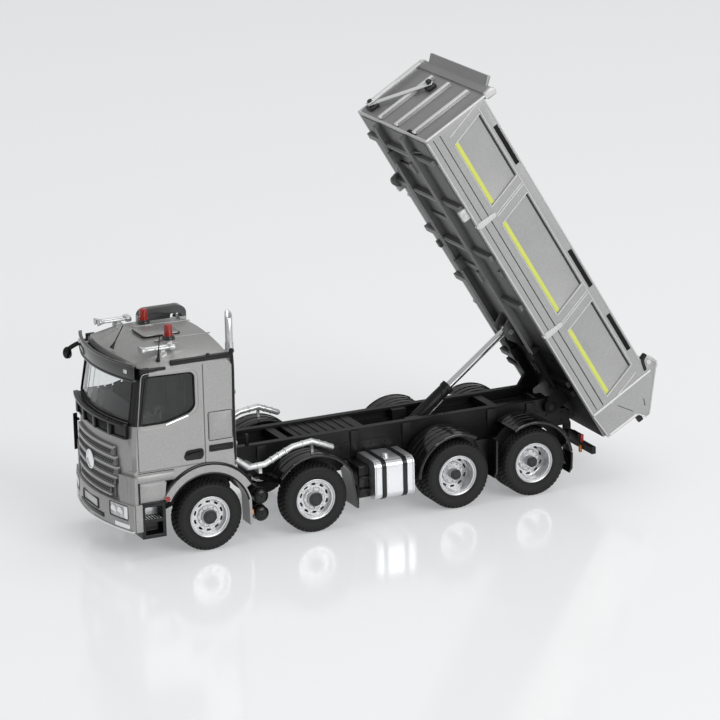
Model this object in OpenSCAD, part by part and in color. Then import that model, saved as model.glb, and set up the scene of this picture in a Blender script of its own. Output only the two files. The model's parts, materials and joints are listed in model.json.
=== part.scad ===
// Four-axle tipper truck, 1:50 die-cast display model, bed raised.
// X forward, Y to the left, Z up; millimetres; origin on the ground at the middle of its outline.
// Places along the truck are written from axle 1 (x = 0 there) and moved once, by vehicle().

/* [Axles and wheels] */
// Axle 1 to axle 2
axle_1_to_2 = 35.5; // [34:0.5:44]
// Axle 2 to axle 3
axle_2_to_3 = 49; // [46:0.5:64]
// Axle 3 to axle 4
axle_3_to_4 = 27; // [25:0.5:33]
// Outer radius of every tyre
tyre_r = 10.9; // [9:0.1:11.2]
// Width of a steered tyre
front_tyre_w = 6.2; // [5.2:0.1:6.6]
// Width of each tyre of a twin wheel
rear_tyre_w = 5.6; // [4.8:0.1:5.8]
// Outer radius of every rim, where the tyre sits
rim_r = 6.3; // [5.8:0.1:7]
// Thickness of a rim's drum
rim_wall = 0.8; // [0.6:0.1:1]
// Outermost face of the wheels, from the middle of the truck
wheel_face_y = 24.7; // [24:0.1:26]
// Radius of the stub shafts that the wheels turn on
stub_r = 1; // [0.8:0.1:1.4]
// Distance of the kingpins from the middle of the truck
kingpin_y = 16.2; // [15.6:0.1:16.8]
// Length of a steering arm
steering_arm = 4.5; // [4:0.1:5.5]

/* [Chassis] */
// Outer face of the frame rails, from the middle
rail_y = 9.4; // [8.5:0.1:9.8]
// Depth of a rail's flanges across the truck
rail_w = 2.8; // [2:0.1:3.4]
// Underside of the truck frame
frame_bottom_z = 16.9; // [16:0.1:18]
// Top of the truck frame, where the tipper frame lies
frame_top_z = 22.5; // [21:0.1:23.5]
// Top of the tipper frame
tipper_top_z = 26.5; // [26:0.1:28]
// Axle 4 to the bed's hinge
hinge_overhang = 13; // [11:0.1:20]
// Length of the fuel tank
tank_l = 13.6; // [11:0.1:15]

/* [Cab] */
// Width of the cab's body
cab_w = 46; // [42:0.5:48]
// Rear wall of the cab, behind axle 1
cab_rear = 9.6; // [9:0.1:12]
// Cab corners at the front, ahead of axle 1
cab_front = 23.6; // [21:0.1:26]
// How far the cab's front bows forward at the middle
cab_bow = 4.4; // [2:0.1:6]
// Door's lower edge
sill_z = 24.4; // [24:0.1:28]
// Roof's edge above the doors
roof_edge_z = 62.3; // [60:0.1:72]
// Rise of the roof at the middle
roof_crown = 2.5; // [1:0.1:6]
// Thickness of the cab's walls
cab_wall = 1.1; // [0.8:0.1:1.6]
// Bumper's half width
bumper_half_w = 24.4; // [22:0.1:25.5]

/* [Bed] */
// Width of the bed
bed_w = 49.6; // [46:0.2:54]
// Height of the bed's side walls
bed_h = 23.2; // [18:0.1:28]
// Thickness of the bed's walls
bed_wall = 1.5; // [1.2:0.1:2]
// Thickness of the bed's floor
bed_floor_t = 1.2; // [1:0.1:1.8]
// Gap between the cab's rear wall and the lowered bed
cab_to_bed = 7.7; // [6.5:0.1:12]
// How far the bed is raised, in degrees
bed_raise = 59.3; // [30:0.5:60]
// Outer face of the rails under the bed, from the middle
bed_rail_y = 10.8; // [9.6:0.1:11.2]
// Depth of the rails under the bed
bed_rail_h = 2.3; // [1.8:0.1:3]
// Bed's rear pillar behind the hinge
pillar_behind_hinge = 4.9; // [4:0.1:8]
// Radius of the tipping cylinder's barrel
barrel_r = 2; // [1.4:0.1:2.2]
// Radius of its rod
rod_r = 1.2; // [0.8:0.1:1.5]

/* [Hidden] */
$fn = 48;
eps = 0.01;

// Clearances
run_c = 0.05;      // shaft in its bore
gap = 0.3;         // between moving panels
rest_c = 0.7;      // lowered bed above the tipper frame
pad_h = 1;         // resting pads below the bed's rails
tow_r = 0.6;       // bore for a towing pin
rear_bar_out = 2.8;                                // rear bar's back face behind the frame
tow_reach = rear_bar_out + 1.4;                    // towing pin clear of that bar
// towing eye's plate hangs below the frame, clear of the raised bed's floor
tow_z = frame_bottom_z - 2.3;

// Axles
axle_z = tyre_r;
axle_x = [0, -axle_1_to_2, -axle_1_to_2 - axle_2_to_3, -axle_1_to_2 - axle_2_to_3 - axle_3_to_4];
steered_y = wheel_face_y - 0.3 - front_tyre_w;     // inner face of a steered tyre
twin_gap = 0.6;
twin_inner_y = wheel_face_y - 2 * rear_tyre_w - twin_gap;
arch_r = tyre_r + 2.9;                             // inside of a steered wheel's arch
rear_arch_r = tyre_r + 2.1;

// Bed hinge and lowered bed
hinge_x = axle_x[3] - hinge_overhang;
hinge_z = frame_top_z + 1.5;
hinge_pin_r = 0.9;
hinge_u = pillar_behind_hinge;                     // bed coordinates: u forward, w up, from the pillar foot
hinge_w = -(tipper_top_z + rest_c + pad_h + bed_rail_h - hinge_z);
bed_l = -cab_rear - cab_to_bed - hinge_x + hinge_u;
frame_end_x = hinge_x - 6.7;
rail_front = cab_front - 2.2;

// Bed's rear end, a bent gate between two cheeks
gate_bend_w = 13.5;
cheek = [[-eps, 0], [-9.4, 0.8], [-9.8, gate_bend_w], [-12.6, gate_bend_w + 1.6], [-12.3, gate_bend_w + 3.3],
         [1.3, bed_h + 4.7], [5.5, bed_h + 2.4], [5.5, bed_h - 1]];
gate_foot_w = bed_floor_t + gap + 0.2;
gate_outside = [[-9.4, gate_foot_w], [-9.8, gate_bend_w], [-12.3, gate_bend_w + 2.6], [0.2, bed_h + 3.9]];
gate_inside = [[0.8, bed_h + 2.8], [-11, gate_bend_w + 2.3], [-8.6, gate_bend_w - 0.4], [-8.2, gate_foot_w]];
gate_hinge = [3, bed_h + 2];

// Tipping cylinder: trunnion on the tipper frame, eye under the bed
trunnion = [hinge_x + 46.5, hinge_z - 2.9];
eye_bed = [hinge_u + 26.4, -2.6];
function bed_point(u, w) = [hinge_x + (u - hinge_u) * cos(bed_raise) - (w - hinge_w) * sin(bed_raise),
                            hinge_z + (u - hinge_u) * sin(bed_raise) + (w - hinge_w) * cos(bed_raise)];
eye = bed_point(eye_bed[0], eye_bed[1]);
cylinder_l = norm(eye - trunnion);
cylinder_a = atan2(eye[1] - trunnion[1], trunnion[0] - eye[0]);
eye_r = 1.5;
eye_cheek_y = barrel_r + 0.45;                      // inner face of the eye's cheeks, clear of the barrel's collar
lowered_eye = [hinge_x + eye_bed[0] - hinge_u, hinge_z + eye_bed[1] - hinge_w];
closed_l = norm(lowered_eye - trunnion);
barrel_out = closed_l - eye_r - 0.3;
barrel_in = cylinder_l - closed_l - barrel_out + 8;

// Whole truck: origin at the middle of its length
bumper_out = 1.7;                                  // bumper ahead of the cab's front
nose_x = cab_front + cab_bow + bumper_out;
tail_x = bed_point(1.3, bed_h + 4.7)[0];
axle_1_x = -(nose_x + tail_x) / 2;

function arc(r, a0, a1, n, c = [0, 0]) =
    [for (i = [0:n]) c + r * [cos(a0 + (a1 - a0) * i / n), sin(a0 + (a1 - a0) * i / n)]];

module vehicle() translate([axle_1_x, 0, 0]) children();
module both_sides() { children(); mirror([0, 1, 0]) children(); }
module side(s) mirror([0, s == "left" ? 0 : 1, 0]) children();
// A solid whose profile lies in the X-Z plane, from y0 to y1
module across(y0, y1) translate([0, y1, 0]) rotate([90, 0, 0]) linear_extrude(y1 - y0) children();
// A round bar along Y
module bar_y(r, y0, y1) translate([0, y0, 0]) rotate([-90, 0, 0]) cylinder(r = r, h = y1 - y0);
module along_x(x0, x1) translate([x0, 0, 0]) rotate([90, 0, 90]) linear_extrude(x1 - x0) children();
module box(lo, hi) translate(lo) cube(hi - lo);
// Bed coordinates to the raised bed
module tipped()
    translate([hinge_x, 0, hinge_z]) rotate([0, -bed_raise, 0]) translate([-hinge_u, 0, -hinge_w]) children();
module spun(y0) translate([0, y0, 0]) rotate([-90, 0, 0]) rotate_extrude($fn = 72) children();

// Frame
module rail(x0, x1, z0, z1, y_out, w) {
    difference() {
        box([x0, y_out - w, z0], [x1, y_out, z1]);
        box([x0 - eps, y_out - w - eps, z0 + 0.8], [x1 + eps, y_out - 0.9, z1 - 0.8]);
    }
}

module chassis_frame() color("#232427") vehicle() {
    cross_x = [rail_front - 2, axle_x[1] + 14, axle_x[1] - 16, (axle_x[2] + axle_x[3]) / 2, frame_end_x + 4];
    difference() {
        union() {
            both_sides() rail(frame_end_x, rail_front, frame_bottom_z, frame_top_z, rail_y, rail_w);
            // pads under the cab's rear edge
            both_sides()
                box([-cab_rear + 0.2, rail_y - rail_w, frame_top_z - eps], [-cab_rear + 1.4, rail_y, sill_z]);
            for (x = cross_x)
                box([x - 1.2, -rail_y + 0.9, frame_bottom_z + 0.8], [x + 1.2, rail_y - 0.9, frame_top_z - 0.8]);
            // tail beam with the towing eye
            box([frame_end_x - 1, -rail_y, frame_bottom_z], [frame_end_x + eps, rail_y, frame_top_z - 0.9]);
            box([frame_end_x - 1, -1.6, tow_z - 0.5], [frame_end_x + eps, 1.6, frame_bottom_z + 0.5]);
            box([frame_end_x - tow_reach - 1.2, -1.6, tow_z - 0.5], [frame_end_x, 1.6, tow_z + 0.5]);
        }
        translate([frame_end_x - tow_reach, 0, tow_z - 1]) cylinder(r = tow_r, h = 2, $fn = 32);
    }
}

module tipper_frame() color("#2b2c30") vehicle() {
    front = -cab_rear - cab_to_bed + 2.5;
    plate_x = [axle_x[1] - 24, axle_x[1] - 2];
    hanger_r = 2.4;
    hanger_in = 4.4;
    hanger_out = rail_y - rail_w - 0.1;
    difference() {
        union() {
            both_sides() {
                rail(hinge_x - 3.6, front, frame_top_z, tipper_top_z, rail_y - 0.2, rail_w - 0.4);
                // trunnion hanger, inside the rails
                translate([trunnion[0], 0, trunnion[1]]) bar_y(hanger_r, hanger_in, hanger_out);
                box([trunnion[0] - hanger_r, hanger_in, trunnion[1]],
                    [trunnion[0] + hanger_r, hanger_out, tipper_top_z - 0.4]);
                box([trunnion[0] - hanger_r, hanger_in, frame_top_z],
                    [trunnion[0] + hanger_r, hanger_out + 0.9, tipper_top_z - 0.4]);
            }
            for (x = [front - 1.4, axle_x[1] + 2, plate_x[0], hinge_x + 18])
                box([x - 1.4, -rail_y + 1, frame_top_z + 0.6], [x + 1.4, rail_y - 1, tipper_top_z - 0.6]);
            // cover plate between the rails, ahead of the cylinder
            box([plate_x[0], -rail_y + 1, tipper_top_z - 1.6], [plate_x[1], rail_y - 1, tipper_top_z - 0.8]);
            // hinge pin, through both rails
            translate([hinge_x, 0, hinge_z]) bar_y(hinge_pin_r, -rail_y - 2.2, rail_y + 2.2);
        }
        both_sides() translate([trunnion[0], 0, trunnion[1]]) bar_y(stub_r + run_c, hanger_in - 0.1, hanger_out + 0.1);
    }
}

module engine() color("#3a3b3e") vehicle()
    box([-5, -rail_y + rail_w, 13.4], [16, rail_y - rail_w, sill_z - 0.8]);

// Steered axles
module front_axle(n) color("#2a2b2e") vehicle() translate([axle_x[n - 1], 0, 0]) {
    beam_top = axle_z + 0.4;
    difference() {
        union() {
            box([-1.3, -kingpin_y, axle_z - 1.6], [1.3, kingpin_y, beam_top]);
            both_sides() translate([0, kingpin_y, axle_z - 1.6]) cylinder(r = 1.5, h = 3.2);
        }
        both_sides() translate([0, kingpin_y, axle_z - 4]) cylinder(r = 0.7 + run_c, h = 8, $fn = 32);
    }
    // leaf springs, seated on the beam and hung from the rails
    both_sides() across(rail_y - 2.4, rail_y - 0.4)
        polygon([[-12, frame_bottom_z], [-12, beam_top + 3.4], [-6, beam_top + 1.4], [-1.6, beam_top - eps],
                 [1.6, beam_top - eps], [6, beam_top + 1.4], [12, beam_top + 3.4], [12, frame_bottom_z],
                 [10.6, frame_bottom_z], [10.6, beam_top + 4.5], [6, beam_top + 2.8], [0, beam_top + 2],
                 [-6, beam_top + 2.8], [-10.6, beam_top + 4.5], [-10.6, frame_bottom_z]]);
}

module knuckle(n, s) color("#303134") vehicle() translate([axle_x[n - 1], 0, axle_z]) side(s) {
    web_y = kingpin_y + 1.75;
    for (z = [-2.8, 1.8]) {
        translate([0, kingpin_y, z]) cylinder(r = 1.3, h = 1);
        box([-1.3, kingpin_y, z], [1.3, web_y + eps, z + 1]);
    }
    box([-1.5, web_y, -2.8], [1.5, web_y + 0.7, 2.8]);
    translate([0, kingpin_y, -2.6]) cylinder(r = 0.7, h = 5, $fn = 32);
    bar_y(stub_r, web_y, wheel_face_y - 1.8);
    bar_y(4.1, web_y + 0.6, web_y + 2.2);
    // steering arm with its pin
    box([-steering_arm, kingpin_y - 0.6, -2.8], [-1, kingpin_y + 0.6, -2]);
    translate([-steering_arm, kingpin_y, -2.8]) cylinder(r = 0.9, h = 0.8, $fn = 32);
    translate([-steering_arm, kingpin_y, -4]) cylinder(r = 0.4, h = 1.5, $fn = 32);
}

module tie_rod(n) color("#4a4b4f") vehicle() translate([axle_x[n - 1] - steering_arm, 0, axle_z - 3.8])
    difference() {
        union() {
            box([-0.4, -kingpin_y, 0], [0.4, kingpin_y, 0.8]);
            both_sides() translate([0, kingpin_y, 0]) cylinder(r = 0.9, h = 0.8, $fn = 32);
        }
        both_sides() translate([0, kingpin_y, -1]) cylinder(r = 0.4 + run_c, h = 3, $fn = 32);
    }

// Driven axles
module rear_axle(n) color("#26272a") vehicle() translate([axle_x[n - 1], 0, axle_z]) {
    bar_y(1.7, -twin_inner_y - 3.5, twin_inner_y + 3.5);
    bar_y(stub_r, -wheel_face_y + 2.5, wheel_face_y - 2.5);
    both_sides() bar_y(4.2, twin_inner_y - 0.8, twin_inner_y + 3.2);
    sphere(r = 3.6);
}

module rear_springs() color("#232427") vehicle() {
    mid = (axle_x[2] + axle_x[3]) / 2;
    half = axle_3_to_4 / 2;
    seat = axle_z + 1.7;
    both_sides() {
        across(rail_y - 2.4, rail_y - 0.2)
            polygon([[mid - half - 2, seat], [mid - half + 2, seat], [mid - 4, seat - 1.6], [mid + 4, seat - 1.6],
                     [mid + half - 2, seat], [mid + half + 2, seat], [mid + half + 2, seat + 1.2],
                     [mid + 3, seat + 1.8], [mid - 3, seat + 1.8], [mid - half - 2, seat + 1.2]]);
        box([mid - 2.2, rail_y - 2.2, seat], [mid + 2.2, rail_y - 0.4, frame_bottom_z]);
    }
}

// Wheels
module tyre_ring(w) {
    h = tyre_r - rim_r;
    spun(0) polygon([[rim_r, 0.5], [rim_r + 0.22 * h, 0.12], [rim_r + 0.5 * h, 0], [rim_r + 0.76 * h, 0.12],
        [tyre_r - 0.42, 0.5], [tyre_r, 1.15], [tyre_r, w - 1.15], [tyre_r - 0.42, w - 0.5],
        [rim_r + 0.76 * h, w - 0.12], [rim_r + 0.5 * h, w], [rim_r + 0.22 * h, w - 0.12], [rim_r, w - 0.5]]);
}

module tyre(n, s) color("#1d1d1e") vehicle() translate([axle_x[n - 1], 0, axle_z]) side(s)
    if (n < 3) translate([0, steered_y, 0]) tyre_ring(front_tyre_w);
    else for (k = [0, 1]) translate([0, twin_inner_y + k * (rear_tyre_w + twin_gap), 0]) tyre_ring(rear_tyre_w);

module hand_holes(y, r) for (i = [0:9]) rotate([0, 36 * i + 18, 0])
    translate([r, y, 0]) rotate([-90, 0, 0]) linear_extrude(3) {
        square([0.7, 0.8], center = true);
        for (k = [-1, 1]) translate([0, 0.4 * k]) circle(r = 0.35, $fn = 24);
    }

module rim(n, s) color("#cfd1d4") vehicle() translate([axle_x[n - 1], 0, axle_z]) side(s) {
    in_r = rim_r - rim_wall;
    y0 = n < 3 ? steered_y + 0.3 : twin_inner_y + 0.3;
    y1 = wheel_face_y - 0.6;
    disc = n < 3 ? wheel_face_y - 1.9 : wheel_face_y - 4.6;     // outboard face of the disc
    hub = n < 3 ? wheel_face_y - 0.4 : wheel_face_y - 1.6;
    hub_r = n < 3 ? 2.5 : 1.7;
    difference() {
        spun(0) polygon([[0, disc - 1.8], [hub_r, disc - 1.8], [hub_r, disc - 0.8], [in_r, disc - 0.8], [in_r, y0],
            [rim_r, y0], [rim_r, y1], [in_r, y1], [in_r, disc], [hub_r, disc], [hub_r, hub - 0.4], [hub_r - 0.5, hub],
            [0, hub]]);
        bar_y(stub_r + run_c, y0 - 1, hub - (n < 3 ? 1 : 0.7));
        hand_holes(disc - 2, in_r - 0.95);
    }
}

// Chassis sides
tank_y = [rail_y + 1, wheel_face_y - 0.9];
tank_z = [6.8, 19.4];
tank_x1 = axle_x[2] + rear_arch_r + 1.8;          // rear end of the tank
function round_box(y, z, r) = concat(
    arc(r, 0, 90, 6, [y[1] - r, z[1] - r]), arc(0.8, 90, 180, 3, [y[0] + 0.8, z[1] - 0.8]),
    arc(0.8, 180, 270, 3, [y[0] + 0.8, z[0] + 0.8]), arc(r, 270, 360, 6, [y[1] - r, z[0] + r]));

module fuel_tank() color("#d4d6d9") vehicle() {
    along_x(tank_x1, tank_x1 + tank_l) polygon(round_box(tank_y, tank_z, 2.2));
    for (x = [tank_x1 + 3, tank_x1 + tank_l - 3])
        box([x - 0.8, rail_y, frame_bottom_z], [x + 0.8, tank_y[0] + 1, tank_z[1] - 1.5]);
}

module side_boxes() color("#1f2022") vehicle() {
    // additive tank ahead of the fuel tank
    box([tank_x1 + tank_l, rail_y, 7], [tank_x1 + tank_l + 3.8, wheel_face_y - 5.2, 17.4]);
    // battery box on the right
    mirror([0, 1, 0]) box([tank_x1, rail_y, 7], [tank_x1 + tank_l, wheel_face_y - 1.6, 18.6]);
}

module air_tanks() color("#1b1b1d") vehicle() translate([-arch_r - 5, 0, 0]) both_sides() {
    for (z = [7.8, 13.4]) translate([0, 0, z]) bar_y(2.4, rail_y + 1, 20.4);
    box([-0.7, rail_y, 5.8], [0.7, rail_y + 2, 18]);
}

module side_tubes() color("#dfe1e3") vehicle() both_sides() {
    guard_top = axle_z + arch_r + guard_t;
    p = [[-cab_rear - 1.2, 26.6], [-cab_rear - 5, 23.6], [-cab_rear - 10.4, 23.8], [axle_x[1] + 6, guard_top + 2.6],
         [axle_x[1] - 0.5, guard_top + 3.4], [axle_x[1] - 7.2, guard_top + 0.6]];
    for (i = [0:4]) hull()
        for (k = [i, i + 1]) translate([p[k][0], tube_y, p[k][1]]) sphere(r = tube_r, $fn = 16);
    // posts on the mudguard and an arm to the frame
    box([axle_x[1] - 0.9, tube_y - 0.4, guard_top], [axle_x[1] - 0.1, tube_y + 0.4, p[4][1]]);
    box([-cab_rear - 9.4, rail_y, frame_top_z - 1.4], [-cab_rear - 8.4, tube_y, frame_top_z - 0.4]);
    box([-cab_rear - 9.4, tube_y - 0.6, frame_top_z - 1.4], [-cab_rear - 8.4, tube_y + 0.2, p[2][1]]);
}

guard_t = 0.7;                                     // thickness of the mudguards
tube_y = 21;
tube_r = 0.95;
module guard_arc(r, t, a0, a1) polygon(concat(arc(r + t, a0, a1, 14), arc(r, a1, a0, 14)));

module mudguards() color("#1c1c1e") vehicle() both_sides() {
    steered_in = steered_y - 1.6;
    twin_in = twin_inner_y - 1.3;
    translate([axle_x[1], 0, axle_z]) {
        across(steered_in, wheel_face_y) guard_arc(arch_r, guard_t, 36, 150);
        across(steered_in, wheel_face_y)
            polygon([arch_r * [cos(150), sin(150)], (arch_r + guard_t) * [cos(150), sin(150)],
                     [-arch_r - guard_t, -5], [-arch_r, -5]]);
    }
    for (k = [2, 3]) translate([axle_x[k], 0, axle_z])
        across(twin_in, wheel_face_y) guard_arc(rear_arch_r, guard_t, k == 2 ? 4 : 60, k == 2 ? 120 : 172);
    // brackets to the frame
    for (k = [1, 2, 3]) translate([axle_x[k], 0, 0]) {
        inner = k == 1 ? steered_in : twin_in;
        box([-1, rail_y, frame_top_z - 1.6], [1, inner + 0.7, frame_top_z - 0.2]);
        box([-1, inner, frame_top_z - 1.6], [1, inner + 0.7, axle_z + (k == 1 ? arch_r : rear_arch_r) + 0.3]);
    }
}

module rear_bumper() color("#222326") vehicle() {
    x = frame_end_x;
    box([x - rear_bar_out, -wheel_face_y + 0.7, 10.4], [x - rear_bar_out + 1.6, wheel_face_y - 0.7, 12.8]);
    both_sides() {
        box([x - 1.9, rail_y - 2.2, 12.4], [x + 0.6, rail_y - 0.8, frame_bottom_z]);
        box([x - 0.9, 10.8, 12.4], [x + 0.1, 17.2, 15.6]);
        box([x - 0.7, rail_y - 0.8 - eps, 13.4], [x + 0.1, 10.8 + eps, 15]);
    }
}

module rear_lamps() color("#b3141a") vehicle() both_sides()
    for (k = [0, 1]) translate([frame_end_x - 1.7, 11.1 + 3.1 * k, 12.9]) cube([0.8, 2.7, 2.4]);

stack_top_z = roof_edge_z + 11;
module exhaust_stack() color("#c9cbce") vehicle() translate([-cab_rear - 1.5, 17.4, 0]) {
    difference() {
        translate([0, 0, sill_z]) cylinder(r = 1.15, h = stack_top_z - sill_z, $fn = 32);
        translate([0, 0, stack_top_z - 6]) cylinder(r = 0.85, h = 10, $fn = 32);
        translate([0, 0, stack_top_z - 1.2]) rotate([-48, 0, 0]) translate([-3, -4, 0]) cube([6, 8, 5]);
    }
    translate([0, 0, 61]) cylinder(r = 1.3, h = 2.2, $fn = 32);
    box([-1, -8.6, frame_top_z], [1, 1, sill_z + eps]);
}

// Cab
cab_half = cab_w / 2;
belt_z = 42.5;                                     // foot of the windscreen's slope
nose_z = 34;                                       // top of the front's upright part
grille_top_z = 35;
chin_z = 18.2;                                     // underside of the front corners
chin_x = arch_r;                                   // their rear face, ahead of the wheels
chin_seat = 4;                                     // how far they rise behind the cab's front
trim_sunk = 0.2;                                   // how deep trim sits in the shell
flange_w = 1.3;                                    // outer flange of a front mudguard
flange_t = 2.6;
cab_guard_t = 0.9;
function bow_at(y) = cab_bow * (1 - pow(y / cab_half, 2));
// Side profile at y, t inside the outer surface; pull rounds it off towards the doors
function cab_section(y, t, pull) = let (b = cab_front + bow_at(y) - t - pull, c = roof_crown * bow_at(y) / cab_bow,
                                        top = roof_edge_z - t - 3 * pull) [
    [-cab_rear + t + 0.4 * pull, sill_z + t], [-cab_rear + t + 0.4 * pull, top - 2 + 0.4 * c], [-cab_rear + 2 + t, top + c],
    [3, top + 0.3 + c], [12, top + 0.9 * c], [b - 4.6, top - 1.4 + 0.5 * c],
    [b - 3.6, min(roof_edge_z - 3.6, top - 1.6)], [b - 0.6, belt_z], [b, nose_z], [b, sill_z + t]];
module cab_body(t) hull() {
    for (k = [-0.8, -0.6, -0.4, -0.2, 0, 0.2, 0.4, 0.6, 0.8])
        across(k * cab_half - eps, k * cab_half + eps) polygon(cab_section(k * cab_half, t, 0));
    for (s = [-1, 1], e = [[1.2, 0.25], [0, 0.8]]) {
        y = s * (cab_half - e[0] - t);
        across(y - eps, y + eps) polygon(cab_section(cab_half - e[0], t, e[1]));
    }
}
// Lower front corners, ahead of the wheels
module cab_chin(t) hull() for (k = [-1, -0.75, -0.5, -0.25, 0, 0.25, 0.5, 0.75, 1]) {
    y = k * (cab_half - t);
    x = cab_front + bow_at(y) - t;
    across(y - eps, y + eps) polygon([[chin_x + t, chin_z + t], [x, chin_z + t], [x, sill_z + chin_seat],
                                      [chin_x + t, sill_z + chin_seat]]);
}
window_top_z = roof_edge_z - 4.6;
side_window = [[19, window_top_z], [4.2, window_top_z - 0.4], [3.2, window_top_z - 1.4], [3.2, belt_z + 4.1],
               [4.8, belt_z + 2.4], [13, belt_z + 0.2], [20.6, belt_z + 0.2], [21.2, belt_z + 1.1]];
windscreen = [[-20.4, belt_z + 1.3], [20.4, belt_z + 1.3], [20.4, belt_z + 2], [19.4, window_top_z],
              [-19.4, window_top_z], [-20.4, belt_z + 2]];

// A band that follows the bow of the cab's front, from y0 to half on each side;
// d = how far ahead of it, t = how thick
bow_r = (pow(cab_half, 2) + pow(cab_bow, 2)) / (2 * cab_bow);
module front_band(half, d, t, z0, z1, y0 = 0) {
    a1 = asin(half / (bow_r + d));
    a0 = y0 > 0 ? asin(y0 / (bow_r + d)) : -a1;
    c = [cab_front + cab_bow - bow_r, 0];
    translate([0, 0, z0]) linear_extrude(z1 - z0)
        polygon(concat(arc(bow_r + d, a0, a1, 16, c), arc(bow_r + d - t, a1, a0, 16, c)));
}
module cowl_band() front_band(20.6, 0.5, 1.3, belt_z - 4.1, belt_z + 0.7);
module grille_back() front_band(14.6, 0.3, 0.8, chin_z + 0.6, grille_top_z);
module bumper_corners() both_sides() front_band(bumper_half_w, 1.1, 1.1 + trim_sunk, chin_z, sill_z + 2.5, 17.4);
module visor_band() front_band(cab_half - 0.4, -1, 0.9, roof_edge_z - 5.4, roof_edge_z - 0.5);
module visor_brackets() for (y = [-16, 0, 16]) {
    x = cab_front + bow_at(y) - 1.5;
    box([x - 4.5, y - 0.8, roof_edge_z - 3.4], [x, y + 0.8, roof_edge_z - 2.4]);
}

// Flat seats on the roof
beacon_at = [5.9, 10.3];
horn_y = 18.2;
hoop_y = [-16.2, -12.8];
hoop_x = [-cab_rear + 0.2, 6.2];
roof_seat_z = roof_edge_z + 2.6;
horn_seat_z = roof_edge_z + 1.7;
module roof_seats() {
    both_sides() {
        translate([beacon_at[0], beacon_at[1], roof_seat_z - 1.4]) cylinder(r = 2, h = 1.4, $fn = 32);
        box([10.4, horn_y - 1.7, horn_seat_z - 1.6], [12.6, horn_y + 1.7, horn_seat_z]);
    }
    for (x = [hoop_x[0], hoop_x[1] - 2.2]) box([x, hoop_y[0], horn_seat_z - 2.6], [x + 2.2, hoop_y[1], horn_seat_z + 0.6]);
}
// Room for a front mudguard, to its outer surface
module arch_room() translate([0, 0, axle_z]) both_sides() {
    across(steered_y - 0.6, cab_half + 1) polygon(concat(arc(arch_r + cab_guard_t, 28, 166, 16), [[0, 0]]));
    across(cab_half - flange_w + 0.7, cab_half + 1) polygon(concat(arc(arch_r + flange_t, 28, 150, 16), [[0, 0]]));
}

module cab_shell() color("#a9abad") vehicle() difference() {
    union() {
        cab_body(0);
        cab_chin(0);
        roof_seats();
        visor_brackets();
    }
    cab_body(cab_wall);
    cab_chin(cab_wall);
    both_sides() across(cab_half - 4, cab_half + 1) polygon(side_window);
    translate([cab_front - 9, 0, 0]) along_x(0, 20) polygon(windscreen);
    // door's shut lines
    both_sides() {
        box([0.1, cab_half - 0.3, sill_z + 3.6], [0.4, cab_half + 1, roof_edge_z - 3]);
        box([22, cab_half - 0.3, sill_z + 3.6], [22.3, cab_half + 1, 42]);
        box([0.1, cab_half - 0.3, sill_z + 3.6], [22.3, cab_half + 1, sill_z + 3.9]);
    }
    // tunnel over the engine
    box([-cab_rear + 1.6, -rail_y, chin_z - 1], [rail_front + 0.2, rail_y, sill_z + cab_wall + 0.1]);
    arch_room();
    cowl_band();
    grille_back();
    bumper_corners();
    visor_band();
}

module cab_glazing() color("#9fb0b5", 0.4) vehicle() intersection() {
    difference() {
        cab_body(0.3);
        cab_body(cab_wall - 0.2);
    }
    union() {
        both_sides() across(cab_half - 4, cab_half + 1) polygon(side_window);
        translate([cab_front - 9, 0, 0]) along_x(0, 20) polygon(windscreen);
    }
}

module cab_interior() color("#2f3033") vehicle() {
    floor_z = sill_z + cab_wall + 0.4;
    wheel_at = [11.6, 11.6, 41.5];
    intersection() {
        cab_body(cab_wall);
        union() {
            box([-cab_rear, -cab_half, floor_z], [cab_front - 1, cab_half, floor_z + 1.2]);
            // dashboard
            across(-cab_half, cab_half) polygon([[13.5, floor_z], [cab_front - 2, floor_z], [cab_front - 2, belt_z - 1.3],
                                                 [14.6, belt_z - 0.1], [12.6, belt_z - 2.1]]);
        }
    }
    // seats
    both_sides() {
        box([-3, 7, floor_z + 1], [5, 16.4, 33]);
        across(7, 16.4) polygon([[-5, 31], [-2.4, 31], [-3.4, 52], [-5.8, 52]]);
    }
    // steering wheel on its column
    translate(wheel_at) rotate([0, 62, 0]) {
        rotate_extrude($fn = 32) translate([3.2, 0]) circle(r = 0.4, $fn = 16);
        difference() {
            cylinder(r = 3, h = 0.4, center = true, $fn = 32);
            for (a = [30, 150, 270]) rotate([0, 0, a]) translate([1.7, 0, -1]) cylinder(r = 0.9, h = 2, $fn = 24);
        }
        cylinder(r = 0.5, h = 3, $fn = 24);
    }
}

grille_half = [15.4, 16.2, 16.9, 15.4, 13];        // half widths of its slats, from the top
module grille() color("#6f7174") vehicle() {
    grille_back();
    for (i = [0:4]) front_band(grille_half[i], 0.9, 0.7, grille_top_z - 2.8 - 3.1 * i, grille_top_z - 0.4 - 3.1 * i);
}

bumper_z = 9.6;
plate_z = [13.2, 16.2];
module lamp_box() both_sides() box([cab_front - 1.2, 13, 13.2], [nose_x + 1, 21.8, 17.6]);

module front_bumper() color("#a4a6a8") vehicle() {
    difference() {
        union() {
            front_band(bumper_half_w, bumper_out, bumper_out + 1.3, bumper_z, chin_z);
            both_sides() box([cab_front - 1.6, 0.85 * cab_half, bumper_z], [cab_front + 0.6, bumper_half_w, chin_z]);
            box([rail_front, -rail_y, bumper_z + 3], [cab_front + cab_bow, rail_y, chin_z]);
        }
        // number plate's recess, towing pin's hole and lamps
        box([nose_x - 0.6, -6.2, plate_z[0]], [nose_x + 1, 6.2, plate_z[1]]);
        translate([nose_x - 1.5, 0, bumper_z - 4]) cylinder(r = tow_r, h = 7, $fn = 32);
        lamp_box();
    }
    bumper_corners();
}

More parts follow.
